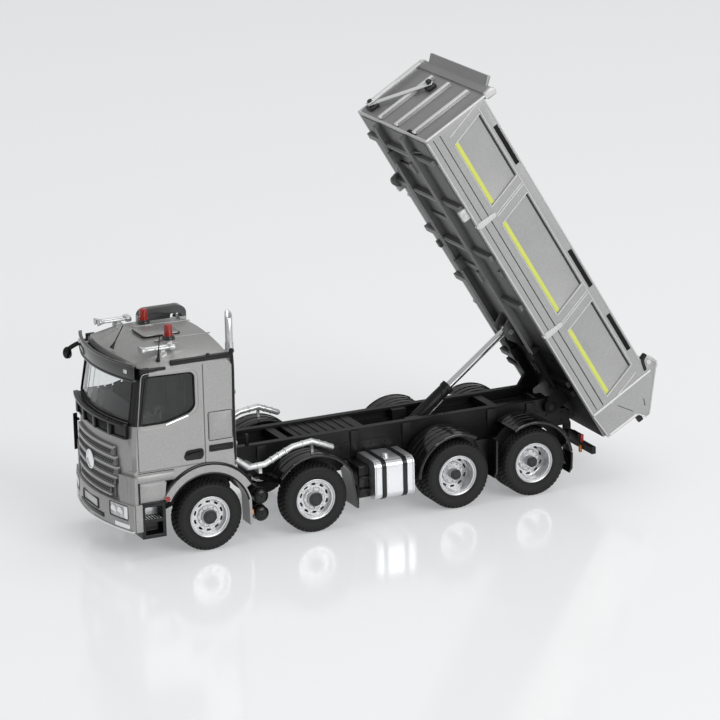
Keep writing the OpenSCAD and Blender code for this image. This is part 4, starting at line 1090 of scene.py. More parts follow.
@CAB_LAMPS.single("plate_frame", "black_plastic")
def plate_frame(bm):
    ring = round_corners([(-6.1, 13.2), (6.1, 13.2), (6.1, 16.2), (-6.1, 16.2)], 0.3, 3)
    pipe(bm, lifted(ring, PLATE_X - 0.2, "x"), 0.28, 8, closed=True)
    bowed(bm, 9.6, 1.95, 0.6, 11.2, 12.6, steps=10, edge=0.2)


@CAB_LAMPS.single("grille_boss", "chrome", slot="chrome")
def badge_blank(bm):
    profile = [(3.1, -0.2), (3.1, 0.25), (2.95, 0.4), (2.7, 0.4), (2.6, 0.25), (2.6, 0.12), (0.0001, 0.18)]
    placed_ring(bm, Matrix.Translation((bow_x(0, 1.0), 0, 27.4)) @ FORWARD, profile, 48, False)


@CAB_LAMPS.single("beacon_bases", "visor_grey")
def beacon_bases(bm):
    profile = [(1.2, 0), (2.0, 0), (2.05, 0.3), (1.9, 0.7), (1.7, 0.8), (1.66, 1.25), (1.2, 1.3)]
    for y in (-BEACON_Y, BEACON_Y):
        placed_ring(bm, Matrix.Translation((BEACON_X, y, BEACON_Z)) @ UPRIGHT, profile, 32)


@CAB_LAMPS.single("beacon_domes", "red_lens", slot="red_lens")
def beacon_ribs(bm):
    for y in (-BEACON_Y, BEACON_Y):
        place = Matrix.Translation((BEACON_X, y, BEACON_Z)) @ UPRIGHT
        for k in range(4):
            h = 1.5 + 0.75 * k
            placed_ring(bm, place, [(1.15, h), (1.32, h + 0.1), (1.32, h + 0.3), (1.15, h + 0.4)], 28)
        ball(bm, (BEACON_X, y, BEACON_Z + 4.35), 1.22, (1, 1, 0.35), 24, 12)


@CAB_LAMPS.single("horn_bells", "tube_silver", smooth=50)
def horn_bells(bm):
    profile = [(0.46, -1.4), (0.58, -0.6), (0.9, 0.6), (1.12, 0.9), (1.02, 0.92), (0.5, 0.1), (0.0001, -0.3)]
    z = ROOF_EDGE_Z + 2.7
    for side in (-1, 1):
        for k in (-1, 1):
            y = side * (18.2 + 1.05 * k)
            placed_ring(bm, Matrix.Translation((17.6 + 0.1 * k, y, z)) @ FORWARD, profile, 28, False)
            rod(bm, (7.5, y, z), (9.0, y, z), 0.95, sides=20, edge=0.15)


@CAB_LAMPS.single("stack_clamps", "tube_silver")
def stack_bands(bm):
    profile = [(1.1, -0.5), (1.42, -0.5), (1.5, -0.35), (1.5, 0.35), (1.42, 0.5), (1.1, 0.5)]
    for z in (31, 47.5, 60.6):
        placed_ring(bm, Matrix.Translation((CAB_REAR - 1.5, 17.4, z)) @ UPRIGHT, profile, 32)
        block(bm, (CAB_REAR - 1.2, 16.9, z - 0.35), (CAB_REAR + 0.2, 17.9, z + 0.35), edge=0.1)


@CAB_LAMPS.single("front_mirror_housing", "black_plastic", slot="black_plastic", smooth=50,
                  replaces=["front_mirror"])
def mirror_housing(bm):
    arm = smooth_path([(20.6, -22.3, 58.3), (23.4, -23.2, 57.5), (25.6, -23.7, 56.3), (26.6, -23.8, 55.2)])
    pipe(bm, arm, 0.72, 14)
    ball(bm, (26.5, -23.8, 54.9), 1.45, (1.0, 0.75, 1.35), 28, 18)
    rod(bm, (20.0, -22.1, 57.8), (21.4, -22.6, 58.4), 1.0, 0.8, sides=20, edge=0.15)


@CAB_LAMPS.single("front_mirror_face", "chrome", slot="chrome")
def mirror_face(bm):
    ball(bm, (26.1, -23.75, 54.4), 1.3, (0.95, 0.72, 1.2), 24, 14)


@CAB_LAMPS.sides("side_reflector", "red_lens", slot="red_lens")
def reflectors(bm):
    rod(bm, (13.4, CAB_HALF + 0.4, 18.6), (13.4, CAB_HALF + 0.95, 18.6), 0.85, sides=20, edge=0.15)


@CAB_LAMPS.sides("side_marker", "amber_lens")
def side_markers(bm):
    block(bm, (-15.0, CAB_HALF - 2.2, 9.0), (-14.2, CAB_HALF + 0.4, 10.6), edge=0.2)


class TIPPER_OT_cab_lamps(bpy.types.Operator):
    """Headlamps, fog lamps, beacons, plate, horns, stack and mirror"""
    bl_idname = "tipper.cab_lamps"
    bl_label = "Lamps and brightwork"

    def execute(self, context):
        refined("headlamps", "clear_lens", smooth=40)
        refined("beacons", "red_lens", smooth=40)
        refined("air_horns", "tube_silver", smooth=40)
        refined("exhaust_stack", "tube_silver", smooth=40)
        refined("intake_hoop", "visor_grey", edge=0.35, smooth=40)
        refined("cowl_panel", "black_plastic", smooth=40)
        refined("cab_steps", "black_plastic", edge=0.2, smooth=40)
        CAB_LAMPS.build()
        return {"FINISHED"}


# ---------------------------------------------------------------- bed

BAYS = [(3.0, 29.8), (37.2, 73.9), (81.3, 105.2)]
BAY_LOW, BAY_TOP, BAY_LEAN = 7.6, 19.5, 3.3
CROSS_U = [14, 46, 66.1, 86.1, 104.1]
GUSSETS = [26 + 10.0 * k for k in range(9)]


BED_SKIN = Section("bed", BED)


@BED_SKIN.sides("side_folds", "highlight_silver")
def side_details(bm):
    # painted highlights: bright silver lines along the folded edges of the pillars and rails
    for b0, b1 in BAYS:
        for u, lean in ((b0, -1), (b1, 1)):
            for off in (0.3, 3.3):
                foot = u + lean * off
                pipe(bm, [(foot, HALF_BED, BAY_LOW - 0.2), (foot + BAY_LEAN, HALF_BED, BAY_TOP + 0.2)], 0.2, 8)
        pipe(bm, [(b0, HALF_BED - 0.05, BAY_LOW - 0.3), (b1, HALF_BED - 0.05, BAY_LOW - 0.3)], 0.2, 8)
    pipe(bm, [(0.6, HALF_BED - 0.05, 0.3), (BED_L - 0.6, HALF_BED - 0.05, 0.3)], 0.3, 8)
    pipe(bm, [(6, HALF_BED, BED_H - 0.2), (BED_L - 0.4, HALF_BED, BED_H - 0.2)], 0.26, 8)
    pipe(bm, [(6, HALF_BED, BAY_TOP + 0.5), (BED_L - 1.4, HALF_BED, BAY_TOP + 0.5)], 0.2, 8)


@BED_SKIN.sides("side_shadow_lines", "hub_grey")
def shadow_gaps(bm):
    # painted shadow: dark lines under the edge above the panels and in the grooves of the lower rail
    for b0, b1 in BAYS:
        plate(bm, [(b0 + BAY_LEAN - 0.1, BAY_TOP - 0.55), (b1 + BAY_LEAN - 0.2, BAY_TOP - 0.55),
                   (b1 + BAY_LEAN, BAY_TOP + 0.05), (b0 + BAY_LEAN, BAY_TOP + 0.05)],
              HALF_BED - 0.75, HALF_BED - 0.55)
    for w in (2.3, 4.9):
        block(bm, (1.2, HALF_BED - 0.4, w - 0.16), (BED_L - 1.2, HALF_BED - 0.3, w + 0.16))
    # painted shade in the creases of the rear cheek
    pipe(bm, [(-2.4, HALF_BED + 0.02, 9), (-7.6, HALF_BED + 0.02, 12.4)], 0.1, 6)
    pipe(bm, [(-6.4, HALF_BED + 0.02, 17.6), (-8.6, HALF_BED + 0.02, 16.8)], 0.14, 6)


@BED_SKIN.sides("side_latches", "highlight_silver")
def latches(bm):
    # the latches are drawn in the same light silver as the painted highlights
    for u in (33.6, 78.4):
        plate(bm, round_corners([(u - 0.7, 7.2), (u + 0.7, 7.2), (u + 1.1, 0.2), (u - 1.1, 0.2)], 0.9, 5),
              HALF_BED - 0.5, HALF_BED + 0.5, edge=0.28)
        rod(bm, (u, HALF_BED - 1.2, 0.2), (u, HALF_BED + 0.4, 0.2), 0.6, sides=16, edge=0.1)
    block(bm, (82.0, HALF_BED - 2.2, -2.6), (86.0, HALF_BED - 0.7, 0.4), edge=0.4)
    rod(bm, (84.0, HALF_BED - 1.0, -1.4), (84.0, HALF_BED - 0.4, -1.4), 0.5, sides=16)


@BED_SKIN.sides("cheek_folds", "highlight_silver")
def cheek_marks(bm):
    # painted highlights: bright silver lines along the folds and foot of the rear cheek
    outline = [(-0.2, 0.2), (-9.2, 1.0), (-9.6, 13.4), (-12.3, 15.2), (-12.0, 16.6), (1.2, 27.5), (5.2, 25.3)]
    pipe(bm, lifted(outline, HALF_BED), 0.28, 8)
    pipe(bm, [(0.3, HALF_BED + 0.05, 0.3), (0.3, HALF_BED + 0.05, 24.2)], 0.42, 8)
    pipe(bm, [(-8.9, HALF_BED, 1.6), (-9.2, HALF_BED, 12.8)], 0.46, 8)


@BED_SKIN.single("front_wall_ribs", "white_and_painted_highlight", slot="bed_silver")
def wall_ribs(bm):
    # painted highlight: the ribs are bed silver, drawn in white where they catch the light
    for k in (-0.4, 0.08, 0.6):
        y = k * HALF_BED
        block(bm, (BED_L + 0.3, y - 0.95, 0.9), (BED_L + 1.15, y + 0.95, BED_H - 0.2), edge=0.3)


@BED_SKIN.single("front_wall_frame", "highlight_silver")
def wall_frame(bm):
    # painted highlights: bright silver lines along the front wall's edges, with its corner plates
    for y in (-HALF_BED + 0.4, HALF_BED - 0.4):
        pipe(bm, [(BED_L + 0.1, y, 0.3), (BED_L + 0.1, y, BED_H + 1)], 0.42, 10)
    pipe(bm, [(BED_L + 0.1, -HALF_BED + 0.3, 0.3), (BED_L + 0.1, HALF_BED - 0.3, 0.3)], 0.42, 10)
    outline = [(BED_L - 1.0, 23.6), (BED_L + 1.0, 24.0), (BED_L + 1.3, 26.6), (BED_L + 0.4, 28.0),
               (BED_L - 1.4, 27.8)]
    for y0, y1 in both_sides(HALF_BED - 1.2, HALF_BED + 0.12):
        plate(bm, outline, y0, y1, edge=0.25)


@BED_SKIN.single("front_wall_slot", "matt_black")
def wall_slot(bm):
    block(bm, (BED_L, 9.6, 0.9), (BED_L + 0.25, 15.8, 2.0), edge=0.1)


@BED_SKIN.single("floor_gussets", "under_grey", slot="underbody_grey")
def underside(bm):
    # gussets under the floor, from the long rails to the sides
    for u in GUSSETS[::2]:
        for sign in (-1, 1):
            inner, outer = sign * 10.7, sign * 17.0
            plate(bm, [(inner, 0.02), (outer, 0.02), (inner, -1.6)], u - 0.35, u + 0.35, axis="x", edge=0.06)
    for u in GUSSETS[3::2]:
        block(bm, (u - 1.0, -8.9, -0.9), (u + 1.0, 8.9, 0.02), edge=0.15)


@BED_SKIN.single("floor_rail_lips", "rail_highlight_grey")
def underside_edges(bm):
    # painted highlights: lighter grey lines along the edges of the floor rails and cross members
    for sign in (-1, 1):
        for y in (8.9, 10.7):
            pipe(bm, [(24, sign * y, -2.3), (BED_L - 0.7, sign * y, -2.3)], 0.24, 8)
    for u in CROSS_U[2:]:
        pipe(bm, [(u, -8.8, -1.95), (u, 8.8, -1.95)], 0.26, 8)


@BED_SKIN.single("floor_under_sheet", "under_grey", slot="underbody_grey")
def under_pans(bm):
    # sheet under the floor: grey ahead of the hinge
    block(bm, (22.0, -23.0, -0.22), (BED_L - 0.8, 23.0, -0.02), edge=0.05)


@BED_SKIN.single("floor_rear_shade_sheet", "matt_black")
def rear_pan(bm):
    # painted shade: a matt black sheet and cross pieces under the floor behind the hinge, where the underside lies
    # in shadow
    block(bm, (-8.8, -23.0, -0.22), (21.9, 23.0, -0.02), edge=0.05)
    for y0, y1 in both_sides(11.3, 22.8):
        block(bm, (9.0, y0, -1.6), (11.0, y1, -0.1), edge=0.2)


@BED_SKIN.single("hinge_plates", "matt_black")
def hinge_plates(bm):
    # painted shade: the hinge plates and the rails' rear ends are drawn matt black, as they lie in shadow
    for y0, y1 in both_sides(9.72, 11.3):
        plate(bm, [(2.7, 0.02), (2.7, HINGE_W), (6.9, HINGE_W), (10.0, 0.02)], y0, y1, edge=0.12)
        rod(bm, (HINGE_U, y0 - 0.08, HINGE_W), (HINGE_U, y1 + 0.08, HINGE_W), 2.1, sides=32, edge=0.15)
    for y0, y1 in both_sides(8.72, 10.92):
        block(bm, (7.1, y0, -2.42), (23.5, y1, -0.1), edge=0.1)


class TIPPER_OT_bed_skin(bpy.types.Operator):
    """Bed sides, front wall, gate and underside in metallic silver and grey"""
    bl_idname = "tipper.bed_skin"
    bl_label = "Bed skin"

    def execute(self, context):
        edge = sizes().edge
        for node in ("bed_side_left", "bed_side_right", "tailgate"):
            refined(node, "bed_silver", edge=edge, smooth=30)
        # painted shade: the front wall takes a darker copy of the bed silver
        refined("bed_front_wall", "shaded_wall_silver", edge=edge, smooth=30)
        refined("bed_rails", "under_grey", edge=0.12, smooth=30)
        BED_SKIN.build()
        return {"FINISHED"}


ARM_U = BED_L + 1.6
BED_TRIM = Section("bed", BED)


@BED_TRIM.sides("reflective_tape", "stripe")
def tape(bm):
    for b0, b1 in BAYS:
        lean = BAY_LEAN * (0.8 / (BAY_TOP - BAY_LOW))
        start, end, low = b0 + 0.3, b1 + 0.2, 7.75
        high = low + sizes().stripe
        plate(bm, [(start, low), (end, low), (end + lean, high), (start + lean, high)],
              HALF_BED - 0.72, HALF_BED - 0.52, edge=0.05, segments=1)


@BED_TRIM.sides("top_rail_inserts", "matt_black")
def inserts(bm):
    for u0, u1 in ((11.1, 25.8), (37.5, 52.4), (87.3, 102.3)):
        block(bm, (u0, HALF_BED - 0.3, 21.0), (u1, HALF_BED + 0.16, 22.5), edge=0.12)
        for k in range(int((u1 - u0) / 0.9)):
            u = u0 + 0.35 + 0.9 * k
            block(bm, (u, HALF_BED + 0.1, 21.25), (u + 0.45, HALF_BED + 0.24, 22.25))


@BED_TRIM.sides("gate_pivot_plates", "highlight_silver")
def gate_arms(bm):
    # the pivot plates are drawn in the same light silver as the painted highlights
    outline = [(4.8, 22.8), (5.9, 25.3), (3.4, 27.4), (0.6, 27.9), (-0.9, 26.8), (0.4, 25.6), (2.6, 24.6)]
    plate(bm, round_corners(outline, 0.7, 4), HALF_BED - 1.4, HALF_BED - 0.1, edge=0.2)
    rod(bm, (3, HALF_BED - 1.6, 25.2), (3, HALF_BED + 0.3, 25.2), 0.9, sides=20, edge=0.15)


@BED_TRIM.sides("gate_rubbers", "black_plastic")
def gate_rubber(bm):
    outline = [(6.4, 25.6), (5.7, 23.4), (1.4, 22.4), (1.3, 23.4), (4.6, 24.1), (5.4, 26.0)]
    plate(bm, round_corners(outline, 0.8, 4), HALF_BED - 1.2, HALF_BED + 0.3, edge=0.15)
    block(bm, (-12.5, HALF_BED - 1.6, 12.2), (-10.3, HALF_BED - 0.2, 14.2), edge=0.3)


@BED_TRIM.single("gate_ribs", "bed_silver", body="gate", slot="bed_silver")
def gate_ribs(bm):
    # stiffeners across the gate's outside
    inner = SIDE_IN - 1.6
    for y in (-inner, -inner / 3, inner / 3, inner):
        plate(bm, [(-9.2, 2.8), (-10.1, 3.1), (-10.5, 13.0), (-9.6, 13.2)], y - 0.6, y + 0.6, edge=0.15)
        plate(bm, [(-11.8, 15.9), (-12.4, 16.5), (-1.1, 26.6), (-0.4, 25.9)], y - 0.6, y + 0.6, edge=0.15)
    pipe(bm, [(-9.8, -SIDE_IN + 0.6, 3.2), (-9.8, SIDE_IN - 0.6, 3.2)], 0.5, 10)


@BED_TRIM.single("sheet_arms", "white_and_painted_highlight", slot="bed_silver")
def arms(bm):
    # folding arms of the load's sheet, on the front wall's right half; painted highlight: they are bed silver,
    # drawn in white
    for ahead, end, width, thick in ((0, (-4.8, 19.3), 1.9, 0.5), (0.7, (-21.0, 23.6), 2.4, 0.4),
                                     (1.0, (-20.6, 14.0), 1.3, 0.4)):
        flat_bar(bm, (ARM_U + ahead, -20.3, 4.0), (ARM_U + ahead, *end), width, thick)


@BED_TRIM.single("sheet_arm_feet", "hub_grey")
def arm_feet(bm):
    block(bm, (BED_L, -22.2, 2.2), (BED_L + 1.2, -18.4, 5.6), edge=0.3)
    block(bm, (BED_L, -7.2, 17.6), (BED_L + 1.3, -3.0, 20.6), edge=0.3)
    for y, w in ((-20.3, 4.0), (-4.8, 19.3)):
        rod(bm, (ARM_U - 1.2, y, w), (ARM_U + 1.5, y, w), 0.85, sides=20, edge=0.15)
    rod(bm, (BED_L + 0.8, -3.0, 17.4), (BED_L + 1.4, -7.2, 20.6), 0.6, sides=14, edge=0.1)


@BED_TRIM.single("floor_lugs", "under_grey", slot="underbody_grey")
def lugs(bm):
    for y0, y1 in both_sides(21.1, 22.9):
        block(bm, (58.0, y0, -1.2), (60.6, y1, 0.1), edge=0.3)
    plate(bm, round_corners([(84, 0), (84, -2.2), (86, -3.6), (88.0, -3.2), (88.6, 0)], 1.0, 4),
          -22.8, -21.6, edge=0.2)


@BED_TRIM.single("cylinder_eye_pin", "rim_silver")
def eye_pin(bm):
    rod(bm, (EYE_U, -3.7, EYE_W), (EYE_U, 3.7, EYE_W), 0.62, sides=20, edge=0.12)
    for y in (-3.75, 3.45):
        rod(bm, (EYE_U, y, EYE_W), (EYE_U, y + 0.3, EYE_W), 0.95, sides=6)


class TIPPER_OT_bed_trim(bpy.types.Operator):
    """Reflective tape, black inserts, gate fittings and the sheet's folding arms"""
    bl_idname = "tipper.bed_trim"
    bl_label = "Bed trim"

    def execute(self, context):
        BED_TRIM.build()
        return {"FINISHED"}


# ---------------------------------------------------------------- chassis

TANK = ((-69.7, -56.1), (10.4, 23.8), (6.8, 19.4))


CHASSIS = Section("chassis", TRUCK)


@CHASSIS.single("tank_straps", "black_plastic")
def tank_straps(bm):
    (x0, x1), (y0, outer), (z0, z1) = TANK
    r = 2.2
    for x in (x0 + 3.2, x1 - 3.2):
        ring = [(y0 - 0.1, z1 + 0.25), (outer - r, z1 + 0.25)]
        ring += [(outer - r + (r + 0.25) * math.sin(a), z1 - r + (r + 0.25) * math.cos(a))
                 for a in [math.pi / 2 * k / 6 for k in range(1, 7)]]
        ring += [(outer - r + (r + 0.25) * math.cos(a), z0 + r - (r + 0.25) * math.sin(a))
                 for a in [math.pi / 2 * k / 6 for k in range(0, 7)]]
        ring += [(y0 - 0.1, z0 - 0.25), (y0 - 0.1, z0 + 0.2), (outer - r, z0 + 0.2),
                 (outer - 0.3, z0 + r), (outer - 0.3, z1 - r), (outer - r, z1 - 0.2),
                 (y0 - 0.1, z1 - 0.2)]
        plate(bm, ring, x - 0.75, x + 0.75, axis="x", edge=0.08, segments=1)
        rod(bm, (x, outer - 1.6, z1 + 0.1), (x, outer - 1.6, z1 + 0.6), 0.4, sides=12)


@CHASSIS.single("tank_seams", "brushed_aluminium", slot="brushed_aluminium")
def tank_ends(bm):
    # rolled seams round both ends, and the filler neck
    (x0, x1), (y0, outer), (z0, z1) = TANK
    for x in (x0 + 0.5, x1 - 0.5):
        ring = round_corners([(y0 + 0.1, z0), (outer, z0), (outer, z1), (y0 + 0.1, z1)], 2.6, 6)
        pipe(bm, lifted(ring, x, "x"), 0.2, 8, closed=True)
    rod(bm, (x1 - 5.6, 19.2, z1 - 0.2), (x1 - 5.6, 19.2, z1 + 0.7), 1.35, sides=28, edge=0.15)
    rod(bm, (x1 - 5.6, 19.2, z1 + 0.6), (x1 - 5.6, 19.2, z1 + 1.2), 1.05, sides=24, edge=0.2)


@CHASSIS.single("additive_cap", "blue_cap")
def blue_cap(bm):
    rod(bm, (-54.2, 16.4, 15.2), (-54.2, 16.4, 16.5), 1.1, sides=24, edge=0.2)
    for i in range(10):
        a = 2 * math.pi * i / 10
        x, y = -54.2 + 1.07 * math.cos(a), 16.4 + 1.07 * math.sin(a)
        rod(bm, (x, y, 15.4), (x, y, 16.3), 0.14, sides=8)


@CHASSIS.single("box_fittings", "black_plastic")
def box_steps(bm):
    for z in (9.5, 13.6):
        block(bm, (-55.8, 19.2, z), (-52.5, 20.6, z + 0.7), edge=0.12)
    for x in (-69, -64.9, -60.8, -57):
        block(bm, (x - 0.35, -23.5, 7.6), (x + 0.35, -23.0, 18.0), edge=0.1)
    block(bm, (-69.5, -23.6, 17.4), (-56.3, -22.6, 18.9), edge=0.25)
    for x in (-66, -60):
        block(bm, (x - 0.9, -23.9, 15.6), (x + 0.9, -23.3, 17.0), edge=0.15)


@CHASSIS.sides("air_tank_ends", "black_plastic", smooth=40)
def air_tank_rings(bm):
    x = -18.8
    for z in (7.8, 13.4):
        ball(bm, (x, 20.3, z), 2.38, (1, 0.42, 1), 28, 12)
        rod(bm, (x, 21.0, z), (x, 21.6, z), 0.5, sides=12, edge=0.08)
        for y in (13.6, 17.8):
            band = bmesh.new()
            turned(band, [(2.35, y - 0.4), (2.55, y - 0.35), (2.55, y + 0.35), (2.35, y + 0.4)], (x, 0, z), 36)
            joined(bm, band)


@CHASSIS.sides("tube_rings", "tube_silver")
def tube_rings(bm):
    path = [(-14.6, 23.6), (-20, 23.8), (-29.5, 28.0), (-36, 28.8), (-42.7, 26.0)]
    for (x0, z0), (x1, z1) in zip(path, path[1:]):
        a, b = Vector((x0, 21, z0)), Vector((x1, 21, z1))
        count = max(2, int((b - a).length / 2.2))
        for k in range(1, count):
            p, q = a.lerp(b, k / count - 0.028), a.lerp(b, k / count + 0.028)
            rod(bm, p, q, 1.13, sides=20, edge=0.1)


@CHASSIS.single("frame_bolts", "frame_black", slot="frame_black")
def frame_bolts(bm):
    for sign in (-1, 1):
        y = sign * RAIL_Y
        for k in range(22):
            x = -20 - 5.2 * k
            for z in (18.4, 21.0):
                rod(bm, (x, y - sign * 0.1, z), (x, y + sign * 0.28, z), sizes().bolt, sides=6)
    for y0, y1 in both_sides(RAIL_Y, RAIL_Y + 0.35):
        for x in (-24, -56, -74, -104, -118):
            block(bm, (x - 1.6, y0, 17.6), (x + 1.6, y1, 26.0), edge=0.1)


@CHASSIS.single("air_lines", "matt_black", smooth=50)
def cross_lines(bm):
    # air and brake lines along the inside of the rails
    for sign in (-1, 1):
        for z, r in ((19.2, 0.34), (20.3, 0.26), (18.2, 0.26)):
            route = [(-14 - 9.5 * k, sign * (5.9 - 0.25 * math.sin(k * 1.9)), z + 0.18 * math.cos(k * 1.3))
                     for k in range(12)]
            pipe(bm, smooth_path(route, 4), r, 8)


@CHASSIS.single("front_spring_leaves", "frame_black", slot="frame_black", smooth=45)
def spring_leaves(bm):
    for x in AXLES[:2]:
        for sign in (-1, 1):
            for k in range(3):
                half = 13.5 - 3.4 * k
                rise = 2.2 * (half / 13.5) ** 2
                route = [(x - half, rise), (x - half / 2, 0.5), (x, 0), (x + half / 2, 0.5), (x + half, rise)]
                pts = smooth_path([(a, sign * 8.0, 13.9 - 0.62 * k + c) for a, c in route], 5)
                strip = bmesh.new()
                pipe(strip, pts, 0.5, 8)
                joined(bm, strip)
            for dx in (-1.5, 1.5):
                bow = [(-1.5, 11.6), (-1.5, 14.2), (1.5, 14.2), (1.5, 11.6)]
                pipe(bm, [(x + dx, sign * 8 + dy, z) for dy, z in bow], 0.3, 8)


@CHASSIS.sides("mudguard_edges", "gloss_black", smooth=45)
def guard_edges(bm):
    thick = 0.7
    for x, r, a0, a1 in ((AXLES[1], ARCH_R, 36, 150), (AXLES[2], REAR_ARCH_R, 4, 120),
                         (AXLES[3], REAR_ARCH_R, 60, 172)):
        rim = circle_points(r + thick * 0.75, a0, a1, 34, (x, AXLE_Z))
        pipe(bm, lifted(rim, WHEEL_FACE_Y - 0.25), 0.42, 8)
        for k in range(3):
            rib = circle_points(r + thick, a0 + 4, a1 - 4, 30, (x, AXLE_Z))
            pipe(bm, lifted(rib, 15.5 + 2.6 * k), 0.2, 6)


@CHASSIS.sides("guard_skirts", "frame_black")
def guard_skirts(bm):
    # inner skirts close the gap between guard and tyre
    for x, r0, r1, a0, a1 in ((AXLES[1], TYRE_R + 0.9, ARCH_R, 32, 150),
                              (AXLES[2], TYRE_R + 0.3, REAR_ARCH_R, 4, 150),
                              (AXLES[3], TYRE_R + 0.3, REAR_ARCH_R, 34, 172)):
        outer = circle_points(r1, a0, a1, 40, (x, AXLE_Z))
        inner = circle_points(r0, a0, a1, 40, (x, AXLE_Z))
        for k in range(len(outer) - 1):
            plate(bm, [outer[k], outer[k + 1], inner[k + 1], inner[k]], 17.6, 18.1)
    # panel in the valley between the driven axles
    mid = (AXLES[2] + AXLES[3]) / 2
    outline = [(-4.6, 19.4), (4.6, 19.4), (1.7, 13.6), (1.1, 7.4), (-1.1, 7.4), (-1.7, 13.6)]
    plate(bm, [(mid + x, z) for x, z in outline], 18.1, 18.6, edge=0.1)


@CHASSIS.sides("mudguard_flaps", "matt_black")
def flaps(bm):
    x, z0, z1 = -49.65, 6.0, 13.0
    block(bm, (x - 0.5, 18.4, z0), (x + 0.1, 24.5, z1), edge=0.15)
    for k in range(4):
        z = z0 + 0.8 + 1.4 * k
        block(bm, (x - 0.75, 18.9, z), (x - 0.4, 24.1, z + 0.4), edge=0.08)


@CHASSIS.sides("rear_flaps", "gloss_black")
def rear_flaps(bm):
    # flaps behind the guards of the driven axles
    for x, z0, z1 in ((AXLES[2] - 13.6, 8.0, 20.5), (AXLES[3] - 13.3, 5.6, 12.6)):
        outline = [(x, z1), (x - 0.7, z1 - 0.4), (x - 0.5, z0 + 1.4), (x + 0.6, z0), (x + 1.0, z0 + 0.2),
                   (x + 0.2, z0 + 1.8)]
        plate(bm, outline, 18.4, 24.45, edge=0.12)
        for k in range(3):
            block(bm, (x - 0.62, 19.2 + 1.7 * k, z0 + 2.2), (x - 0.4, 19.6 + 1.7 * k, z1 - 1.2), edge=0.05)


@CHASSIS.sides("flap_markers", "amber_lens")
def amber(bm):
    block(bm, (-50.3, WHEEL_FACE_Y - 1.9, 8.2), (-49.6, WHEEL_FACE_Y - 0.4, 9.2), edge=0.2)


@CHASSIS.sides("rear_lamp_ribs", "red_lens", slot="red_lens")
def lamp_faces(bm):
    x = FRAME_END - 1.75
    for k in range(2):
        for i in range(4):
            y, z = 11.3 + 3.1 * k, 13.1 + 0.55 * i
            block(bm, (x - 0.14, y, z), (x + 0.1, y + 2.3, z + 0.28), edge=0.04)


@CHASSIS.sides("rear_lamp_ends", "red_lens", slot="red_lens")
def lamp_ends(bm):
    block(bm, (FRAME_END - 1.7, 17.1, 12.9), (FRAME_END - 0.6, 17.8, 15.4), edge=0.15)


@CHASSIS.sides("rear_markers", "amber_lens")
def rear_amber(bm):
    block(bm, (FRAME_END - 1.35, 16.2, 9.3), (FRAME_END - 0.5, 17.3, 11.7), edge=0.15)


@CHASSIS.single("cover_plate_ribs", "frame_black", slot="frame_black")
def stub_box(bm):
    # catwalk plate and posts behind the cab
    for y0, y1 in both_sides(7.0, 8.0):
        block(bm, (-20.5, y0, 26.2), (-19.4, y1, 30.0), edge=0.2)
    for k in range(7):
        block(bm, (-58.6 + 3.0 * k, -7.0, 25.65), (-57.6 + 3.0 * k, 7.0, 25.95), edge=0.06)


class TIPPER_OT_chassis(bpy.types.Operator):
    """Frame, axles, tanks, guards and the tipping cylinder"""
    bl_idname = "tipper.chassis"
    bl_label = "Chassis"

    def execute(self, context):
        refined("fuel_tank", "brushed_aluminium", smooth=30)
        refined("side_boxes", "black_plastic", edge=0.4, smooth=30)
        refined("air_tanks", "black_plastic", smooth=40)
        refined("mudguards", "gloss_black", smooth=30)
        refined("rear_lamps", "red_lens", edge=0.15, smooth=30)
        refined("rear_bumper", "frame_black", edge=0.15, smooth=30)
        refined("side_tubes", "tube_silver", smooth=40)
        refined("cylinder_barrel", "frame_black", smooth=30)
        refined("cylinder_rod", "chrome", smooth=30)
        CHASSIS.build()
        return {"FINISHED"}


CYLINDER = Section("barrel", BARREL)


@CYLINDER.single("cylinder_collars", "frame_black", slot="frame_black")
def collars(bm):
    # hollow rings, so that the rod slides through them
    for z, r in ((BARREL_END - 0.9, 2.32), (BARREL_END - 3.4, 2.2), (1.8, 2.25), (-1.8, 2.25), (-6, 2.2)):
        for level in (z - 0.12, z + 0.12):
            loop = [((r - 0.24) * math.cos(a), (r - 0.24) * math.sin(a), level)
                    for a in (2 * math.pi * i / 32 for i in range(32))]
            pipe(bm, loop, 0.24, 8, closed=True)
    for z in (BARREL_END - 6, 4.5):
        for k in range(4):
            t = math.radians(45 + 90 * k)
            x, y = 2.1 * math.cos(t), 2.1 * math.sin(t)
            block(bm, (x - 0.25, y - 0.25, z), (x + 0.25, y + 0.25, z + 1.4), edge=0.08)


@CYLINDER.single("cylinder_oil_pipe", "chrome", slot="chrome")
def oil_pipe(bm):
    route = [(1.5, -1.9, -5), (1.7, -2.2, -3.4), (1.5, -2.1, 0), (1.5, -2.1, 8), (1.4, -2.0, BARREL_END - 3.6),
             (1.1, -1.8, BARREL_END - 2.6)]
    pipe(bm, smooth_path(route), 0.24, 8)


class TIPPER_OT_cylinder(bpy.types.Operator):
    """Collar, seals and oil pipe of the tipping cylinder"""
    bl_idname = "tipper.cylinder"
    bl_label = "Tipping cylinder"

    def execute(self, context):
        CYLINDER.build()
        return {"FINISHED"}


# ---------------------------------------------------------------- materials on the frame, and the studio

class TIPPER_OT_finishes(bpy.types.Operator):
    """Materials, and their places on the CAD frame"""
    bl_idname = "tipper.finishes"
    bl_label = "Finishes"

    def execute(self, context):
        make_materials()
        for node, obj in frame["nodes"].items():
            obj.data.materials.clear()
            obj.data.materials.append(material(SLOTS[node].replace("underbody_grey", "under_grey")))
        return {"FINISHED"}


AIM = Vector((AXLE_1 - 0.06269, 0, 0.0458))


